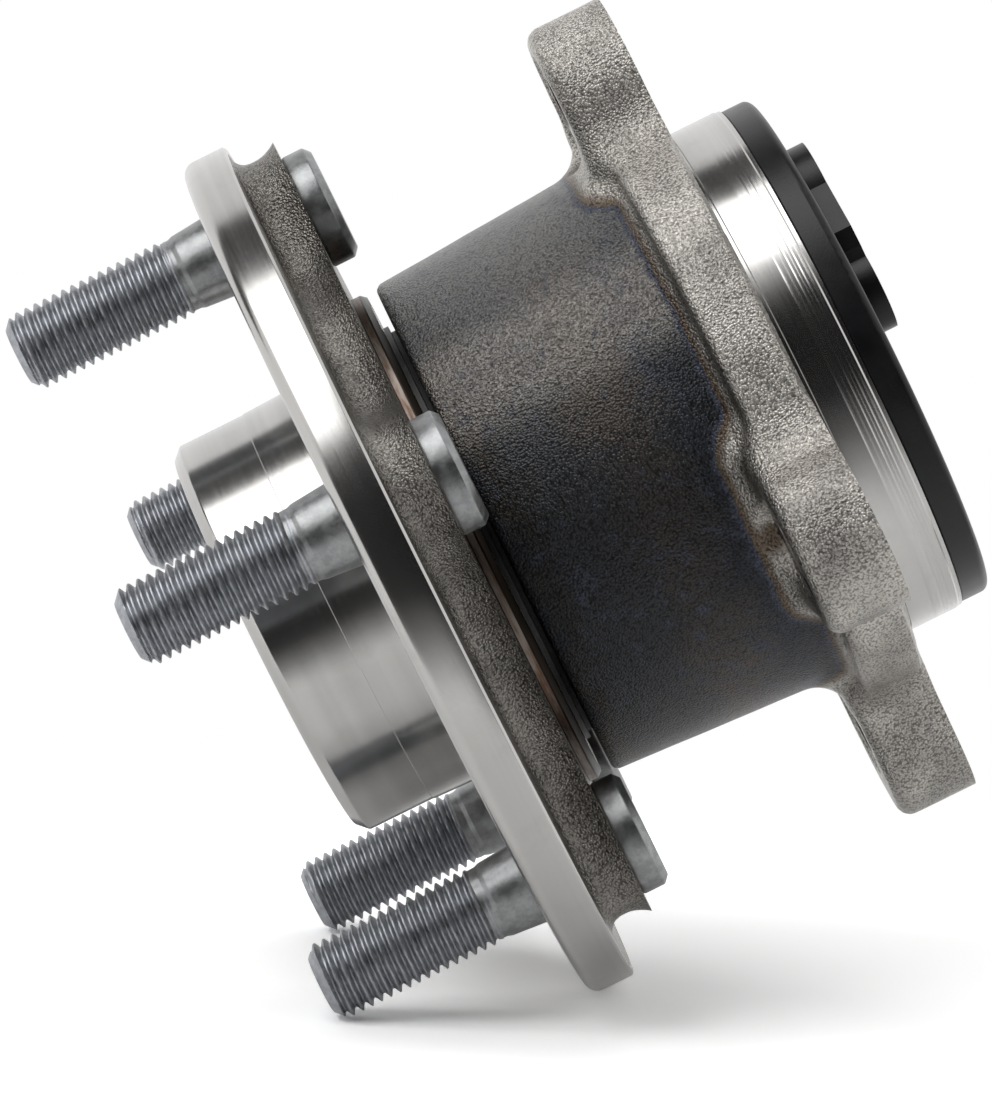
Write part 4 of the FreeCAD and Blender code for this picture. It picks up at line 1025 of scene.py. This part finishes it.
    def build(self) -> None:
        """Make and place the ring's pieces."""
        self.piece("outer_ring_forging", self.forging(), RING, "ring_steel", "outer_ring")
        self.piece("outer_ring_turned", self.turned_part(), RING, "ring_steel", "outer_ring")
        seats = gathered("knuckle_bolt_seats", [self.seat(angle) for angle in self.ear_angles])
        self.piece("knuckle_bolt_seats", seats, RING, "ring_steel", "outer_ring")


@dataclass(frozen=True)
class HubSpindle(Assembly):
    """Forged hub: lobed boss, turned rim, spigot with its recess, spindle with its raceway."""

    rim_back: float = 7.2
    slab_radius: float = 66.9
    slab_front: float = 6.0
    boss_back: float = 13.8
    core_radius: float = 51.0
    lobe_radius: float = 11.4
    lobe_blend: float = 9.0
    stud_circle_radius: float = 54.0
    lobes: int = 5
    waist: float = 1.3
    waist_place: float = 10.3
    cove: float = 2.4
    unevenness: float = 0.22
    uneven_grain: float = 5.0
    uneven_seed: float = 7.0
    shoulder_radius: float = 39.6
    band_proud: float = 0.04
    lap: float = 0.4
    space: tuple[tuple[float, ...], tuple[float, ...]] = ((-68, 5.4, -68), (68, 15.2, 68))
    voxel: float = 0.52
    wheel_side: Corners = (
        (0.0, 3.0), (19.5, 3.0, 1.5), (25.5, -19.0, 0.5), (25.9, -20.0, 0.3), (30.0, -20.0, 0.4),
        (31.6, -18.4, 0.6), (31.6, -8.0), (31.7, -7.9), (31.95, -0.6, 0.3), (32.5, 0.0, 0.3))
    rim: Corners = (
        (68.0, 0.0, 2.0), (68.0, 6.8, 0.2), (67.6, 7.2, 0.2), (66.75, 7.2, 0.1), (66.75, 6.6))
    shoulder_outline: Corners = (
        (39.0, 6.6), (39.0, 13.3), (39.6, 13.7), (39.6, 15.2, 0.2), (38.9, 16.0, 0.2), (26.5, 16.0, 0.3))
    raceway_centre: tuple[float, float] = (29.17, 33.62)
    raceway_angles: tuple[float, float] = (-63.5, 33.8)
    spindle: Profile = (
        (24.2, 51.0), (19.5, 51.0), (19.5, 68.4), (24.8, 68.4), (24.0, 71.6), (22.6, 72.4),
        (15.5, 72.4), (14.0, 70.9), (13.0, 58.4), (0.0, 54.4))

    def forging(self) -> Mesh:
        """Make the lobed boss: a waisted wall that runs out into the turned rim.

        Returns:
            The mesh, with the forged skin and the machined face in two slots.
        """
        tree = Tree("hub_forging")
        waist = tree.size("Waist", self.waist)
        x, y, z = tree.position()
        radius = x.beside(z)
        sector = math.tau / self.lobes
        angle = x.math("ARCTAN2", z)
        turn = angle - (angle / sector).math("ROUND") * sector
        across = radius * turn.math("SINE")
        along = radius * turn.math("COSINE") - self.stud_circle_radius
        lobe = across.beside(along) - self.lobe_radius
        outline = (radius - self.core_radius).joined(lobe, self.lobe_blend)
        rise = ((y - self.waist_place) / (self.boss_back - self.waist_place)).most(0.0)
        wall = outline + waist - waist * rise * rise
        front = self.slab_front - y
        slab = (radius - self.slab_radius).most(y - self.rim_back).most(front)
        shape = slab.joined(wall, self.cove).most(radius - self.slab_radius)
        fade = ((y - self.rim_back) * 0.5).math("MINIMUM", 1.0).most(0.0)
        shape = shape + tree.uneven(self.uneven_grain, self.uneven_seed) * self.unevenness * fade
        shape = shape.without(radius - self.shoulder_radius + self.lap).most(front)
        solid = tree.solid(shape, *self.space, self.voxel)
        mesh = tree.mesh(solid, Finish.HUB_FORGING.material(), "hub_forging")
        mesh.materials.append(Finish.TURNED.material())
        cut_flat(mesh, self.boss_back, 1, 1)
        return mesh

    def turned_part(self) -> Mesh:
        """Make everything on the hub that is turned or ground."""
        profile = rounded([*self.wheel_side, *self.rim, *self.shoulder_outline])
        profile += raceway(self.raceway_centre, self.raceway_angles, -1)
        return dressed(turned("hub_turned", [*profile, *self.spindle], 256), Finish.TURNED)

    def shoulder(self) -> Mesh:
        """Make the browned band round the shoulder beside the seal gap, with painted shade at both its ends.
        """
        outside = self.shoulder_radius + self.band_proud
        inside = self.shoulder_radius - self.lap
        profile = [(inside, 13.75), (outside, 13.75), (outside, 15.22), (38.94, 16.05), (38.0, 16.05),
                   (38.0, 15.8), (inside, 15.0)]
        return dressed(turned("hub_shoulder_band", profile), Finish.SHOULDER)

    def build(self) -> None:
        """Make and place the hub's pieces."""
        self.piece("hub_forging", self.forging(), HUB, "hub_steel", "hub_spindle")
        self.piece("hub_turned", self.turned_part(), HUB, "hub_steel", "hub_spindle")
        self.piece("hub_shoulder_band", self.shoulder(), HUB, "hub_steel", "hub_spindle")


@dataclass(frozen=True)
class WheelStud(Assembly):
    """One M12 wheel stud: rolled thread, flared shank, round head behind the boss."""

    number: int
    circle_radius: float = 54.0
    tip: float = -33.4
    thread_end: float = -6.6
    major_radius: float = 5.92
    minor_radius: float = 5.0
    pitch: float = 1.5
    lead: float = 1.5
    shank_radius: float = 6.2
    hole_radius: float = 6.35
    head_radius: float = 8.9
    head_face: float = 13.8
    head_height: float = 4.4
    around: int = 56
    per_pitch: int = 12
    dent: float = 0.12
    dent_grain: float = 0.45
    root_width: float = 0.16
    flank_width: float = 0.66
    root_round: float = 0.12
    crest_round: float = 0.2
    point_drop: float = 0.75
    runout: float = 1.4
    runout_drop: float = 0.45
    seed_step: float = 7.0
    next_stud: float = 72.0
    spin_step: float = 67.0

    def thread(self) -> Mesh:
        """Make the threaded end from a grid rolled round the stud's axis.

        Returns:
            The closed mesh.
        """
        tree = Tree("stud_thread")
        pitch = tree.size("Pitch", self.pitch)
        major = tree.size("Major radius", self.major_radius)
        minor = tree.size("Minor radius", self.minor_radius)
        length = self.thread_end - self.tip
        rows = round(length / self.pitch * self.per_pitch)
        grid = tree.node("GeometryNodeMeshGrid", {
            "Size X": math.tau, "Size Y": length, "Vertices X": self.around + 1, "Vertices Y": rows + 1})
        across, along, _ = tree.position()
        along = along + length / 2
        place = (along / pitch + across / math.tau + 0.5).math("FRACT")
        flank = ((place - 0.5).math("ABSOLUTE") * 2.0 - self.root_width) / self.flank_width
        tooth = flank.math("SMOOTH_MAX", 0.0, self.root_round).math("SMOOTH_MIN", 1.0, self.crest_round)
        lead = (minor - self.point_drop) + along * ((major - minor + self.point_drop) / self.lead)
        fade = ((length - along) / (self.pitch * self.runout)).math("MINIMUM", 1.0)
        depth = tooth * (major - minor) * fade + (1.0 - fade) * self.runout_drop
        radius = (major - depth).math("MINIMUM", lead)
        angle = across + math.pi
        turned_place = tree.node("ShaderNodeCombineXYZ")
        rolled_to = (radius * angle.math("SINE"), along + self.tip, radius * angle.math("COSINE"))
        for socket, value in zip(turned_place.inputs, rolled_to):
            tree.feed(socket, value)
        rolled = tree.node("GeometryNodeSetPosition", {
            "Geometry": grid.outputs[0], "Position": turned_place.outputs[0]})
        seamless = tree.node("GeometryNodeMergeByDistance", {
            "Geometry": rolled.outputs[0], "Distance": 0.002})
        mesh = tree.mesh(seamless.outputs[0], Finish.THREAD.material(), "stud_thread")
        shape = bmesh.new()
        shape.from_mesh(mesh)
        bmesh.ops.holes_fill(shape, edges=[edge for edge in shape.edges if edge.is_boundary])
        bmesh.ops.recalc_face_normals(shape, faces=shape.faces)
        shape.to_mesh(mesh)
        shape.free()
        return mesh

    def body(self) -> Mesh:
        """Make the shank and the head, a little uneven under its coat.

        Returns:
            The mesh.
        """
        top = self.head_face + self.head_height
        corners = [
            (0.0, self.thread_end - 1.0), (5.45, self.thread_end - 1.0), (5.5, self.thread_end + 0.3, 0.6),
            (5.75, self.thread_end + 1.0, 0.6), (self.shank_radius, -0.4, 1.5), (self.shank_radius, 0.2),
            (self.hole_radius, 0.5), (self.hole_radius, self.head_face - 0.1),
            (self.head_radius, self.head_face - 0.05, 0.5), (self.head_radius, top - 1.0, 0.5),
            (self.head_radius - 1.1, top, 0.6), (6.4, top, 0.3), (5.6, top - 0.3, 0.3), (0.0, top - 0.35)]
        mesh = dressed(turned("stud_body", rounded(corners, 4), 96), Finish.HEAD)
        for vertex in mesh.vertices:
            place = vertex.co / MM
            if place.y > self.head_face:
                sample = place * self.dent_grain + Vector((self.number * self.seed_step, 0, 0))
                push = noise.noise(sample) * self.dent - self.dent
                flat = Vector((place.x, 0, place.z))
                if flat.length > 1:
                    vertex.co += flat.normalized() * push * MM
        return mesh

    def build(self) -> None:
        """Make the stud and set it in its place on the stud circle."""
        name = f"wheel_stud_{self.number}_coated"
        mesh = gathered(name, [self.thread(), self.body()])
        spin = Matrix.Rotation(math.radians(self.number * self.spin_step), 4, "Y")
        place = polar(self.circle_radius, self.next_stud * (self.number - 1), 0) * MM
        mesh.transform(Matrix.Translation(place) @ spin)
        self.piece(name, mesh, HUB, "stud_steel", f"wheel_stud_{self.number}")


@dataclass(frozen=True)
class BearingInsides(Assembly):
    """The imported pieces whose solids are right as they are, each given its own finish."""

    finishes: tuple[tuple[str, Finish], ...] = (
        ("inboard_inner_ring", Finish.GROUND),
        ("outboard_slinger", Finish.PRESSED_SHADED),
        ("encoder_carrier", Finish.PRESSED_SHADED),
        ("encoder_magnet_ring", Finish.MAGNET),
        ("outboard_balls", Finish.GROUND),
        ("inboard_balls", Finish.GROUND),
        ("outboard_cage", Finish.CAGE),
        ("inboard_cage", Finish.CAGE),
        ("outboard_seal_casing", Finish.PRESSED_SHADED),
        ("outboard_seal_lips", Finish.RUBBER),
        ("cap_press_sleeve", Finish.PRESSED_SHADED),
        ("sensor_cap", Finish.CAP),
        ("cap_seal_ring", Finish.RUBBER),
        ("sensor_screw_insert", Finish.BRASS),
    )

    def build(self) -> None:
        """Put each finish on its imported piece."""
        for name, finish in self.finishes:
            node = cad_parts[name]
            node.data.materials.clear()
            node.data.materials.append(finish.material())
            LOG.info("%s: finished as %s", name, finish.name.lower())


@dataclass(frozen=True)
class Card:
    """A bent card round the object, unevenly bright, that only reflections and light see.

    Its stops give angles from +X towards +Z, in falling order, and the brightness at each.
    """

    name: str
    stops: tuple[tuple[float, float], ...]
    start: float = -0.9
    end: float = 0.9
    distance: float = 0.9
    steps: int = 4

    def finish(self) -> Material:
        """Give the material that glows as bright as the mesh says."""
        found = bpy.data.materials.get("card_glow")
        if found:
            return found
        glow = Surface("card_glow", 0.0, 1.0)
        glow.set("Base Color", (0.0, 0.0, 0.0, 1.0))
        glow.set("Specular IOR Level", 0.0)
        glow.set("Emission Color", glow.node("ShaderNodeAttribute", attribute_name="shade").outputs["Color"])
        glow.set("Emission Strength", 1.0)
        return glow.material

    def build(self) -> None:
        """Hang the card."""
        shape = bmesh.new()
        layer = shape.verts.layers.float_color.new("shade")
        rows = []
        for (first, bright), (second, after) in zip(self.stops, self.stops[1:]):
            for number in range(self.steps + 1):
                share = number / self.steps
                middle = Studio.around(first + (second - first) * share, self.distance)
                shade = bright + (after - bright) * share
                row = [shape.verts.new(middle + Vector((0, place, 0))) for place in (self.start, self.end)]
                for vertex in row:
                    vertex[layer] = (shade, shade, shade, 1.0)
                rows.append(row)
        for first, second in zip(rows, rows[1:]):
            if (first[0].co - second[0].co).length > TINY:
                shape.faces.new((first[0], first[1], second[1], second[0]))
        mesh = bpy.data.meshes.new(self.name)
        shape.to_mesh(mesh)
        shape.free()
        mesh.materials.append(self.finish())
        card = bpy.data.objects.new(self.name, mesh)
        card.visible_camera = False
        bpy.context.scene.collection.objects.link(card)


@dataclass(frozen=True)
class Studio:
    """Camera, pale floor and soft light."""

    camera_place: tuple[float, float, float] = (0.753459, 0.021673, 0.099513)
    right: tuple[float, float, float] = (0.0539461, 0.8959268, -0.4409138)
    up: tuple[float, float, float] = (-0.1487792, 0.4438398, 0.883669)
    back: tuple[float, float, float] = (0.9873979, 0.0179283, 0.1572387)
    lens: float = 167.629
    shift: tuple[float, float] = (-0.0007, 0.1167)
    cards: tuple[Card, ...] = (
        Card("card_high", ((117.0, 0.06), (91.0, 0.06))),
        Card("card_wheel_side", (
            (42.0, 0.02), (1.0, 0.03), (-9.0, 0.3), (-21.0, 0.95), (-27.0, 1.1), (-68.0, 1.05),
            (-84.0, 0.75), (-100.0, 0.3), (-112.0, 0.08), (-155.0, 0.08)), end=0.03),
        Card("card_knuckle_side", (
            (58.0, 0.9), (50.0, 0.45), (44.0, 0.12), (40.0, 0.01), (-5.0, 0.02), (-21.0, 0.13),
            (-33.0, 0.34), (-45.0, 0.6), (-63.0, 0.76), (-93.0, 0.58), (-111.0, 0.4),
            (-125.0, 0.6)), start=0.03),
    )
    lamp_angle: float = 76.0
    lamp_distance: float = 1.0
    lamp_size: tuple[float, float] = (0.7, 1.2)
    lamp_power: float = 6.0
    stud_contact: tuple[float, float, float] = (0.0, -32.1, -49.6)
    rim_contact: tuple[float, float, float] = (0.0, 1.0, -68.0)
    floor_reach: float = 1.2
    floor_colour: Colour = (0.97, 0.97, 0.97)
    floor_seen: Colour = (1.62, 1.62, 1.62)
    floor_fade: tuple[float, float] = (110.0, 210.0)

    def show(self, name: str, data: bpy.types.ID) -> bpy.types.Object:
        """Put a camera, lamp or mesh into the scene."""
        made = bpy.data.objects.new(name, data)
        bpy.context.scene.collection.objects.link(made)
        return made

    def camera(self) -> None:
        """Set the camera where the photograph was taken from."""
        data = bpy.data.cameras.new("camera")
        data.lens = self.lens
        data.sensor_width = 36.0
        data.shift_x, data.shift_y = self.shift
        data.clip_start = 0.01
        made = self.show("camera", data)
        turn = Matrix((self.right, self.up, self.back)).transposed().to_4x4()
        made.matrix_world = Matrix.Translation(self.camera_place) @ turn
        bpy.context.scene.camera = made

    def world(self) -> None:
        """Surround the object with even white."""
        world = bpy.data.worlds.new("white_surround")
        world.use_nodes = True
        world.node_tree.nodes["Background"].inputs["Color"].default_value = (1, 1, 1, 1)
        world.node_tree.nodes["Background"].inputs["Strength"].default_value = 1.0
        bpy.context.scene.world = world

    @staticmethod
    def around(degrees: float, distance: float) -> Vector:
        """Give a point round the spin axis, by its angle from +X towards +Z."""
        angle = math.radians(degrees)
        return Vector((math.cos(angle), 0.0, math.sin(angle))) * distance

    def lamp(self) -> None:
        """Hang one soft area lamp above, aimed at the spin axis."""
        data = bpy.data.lights.new("key_lamp", "AREA")
        data.shape = "RECTANGLE"
        data.size, data.size_y = self.lamp_size
        data.energy = self.lamp_power
        made = self.show("key_lamp", data)
        made.location = self.around(self.lamp_angle, self.lamp_distance)
        made.rotation_euler = (-made.location).to_track_quat("-Z", "Y").to_euler()

    def floor_finish(self, middle: Vector) -> Material:
        """Give the floor's material: pale, and clear far away and from below.

        Args:
            middle: The middle of the floor, in metres.

        Returns:
            The material.
        """
        pale = Surface("floor_white", 0.0, 0.6)
        seen = pale.node("ShaderNodeLightPath").outputs["Is Camera Ray"]
        pale.set("Base Color", pale.blend(seen, self.floor_colour, self.floor_seen))
        pale.set("Specular IOR Level", 0.2)
        ends = {0: pale.place, 1: tuple(middle / MM)}
        far = pale.node("ShaderNodeVectorMath", ends, operation="DISTANCE").outputs["Value"]
        side = pale.node("ShaderNodeNewGeometry").outputs["Backfacing"]
        fade = pale.math("MAXIMUM", pale.step(far, *self.floor_fade), side)
        clear = pale.node("ShaderNodeBsdfTransparent")
        mix = pale.node("ShaderNodeMixShader", {0: fade, 1: pale.shader.outputs[0], 2: clear.outputs[0]})
        pale.tree.links.new(mix.outputs[0], pale.tree.nodes["Material Output"].inputs["Surface"])
        return pale.material

    def floor(self) -> None:
        """Lay the pale floor under the stud tip and the rim, fading out into the white surround."""
        first = Vector(self.stud_contact) * MM
        second = Vector(self.rim_contact) * MM
        middle = (first + second) / 2
        along = (second - first).normalized() * self.floor_reach
        level = Vector((self.floor_reach, 0, 0))
        shape = bmesh.new()
        sides = ((-1, -1), (1, -1), (1, 1), (-1, 1))
        face = shape.faces.new([shape.verts.new(middle + level * a + along * b) for a, b in sides])
        face.normal_update()
        if face.normal.z < 0:
            face.normal_flip()
        mesh = bpy.data.meshes.new("floor")
        shape.to_mesh(mesh)
        shape.free()
        mesh.materials.append(self.floor_finish(middle))
        self.show("floor", mesh)

    def build(self) -> None:
        """Set up the whole studio."""
        bpy.context.scene.view_settings.view_transform = "Standard"
        self.camera()
        self.world()
        self.floor()
        for card in self.cards:
            card.build()
        self.lamp()


def main() -> None:
    """Build the bearing's sub-assemblies and the studio."""
    logging.basicConfig(level=logging.INFO, format="%(message)s")
    OuterRing().build()
    HubSpindle().build()
    for number in range(1, 6):
        WheelStud(number).build()
    BearingInsides().build()
    Studio().build()


if __name__ == "__main__":
    main()
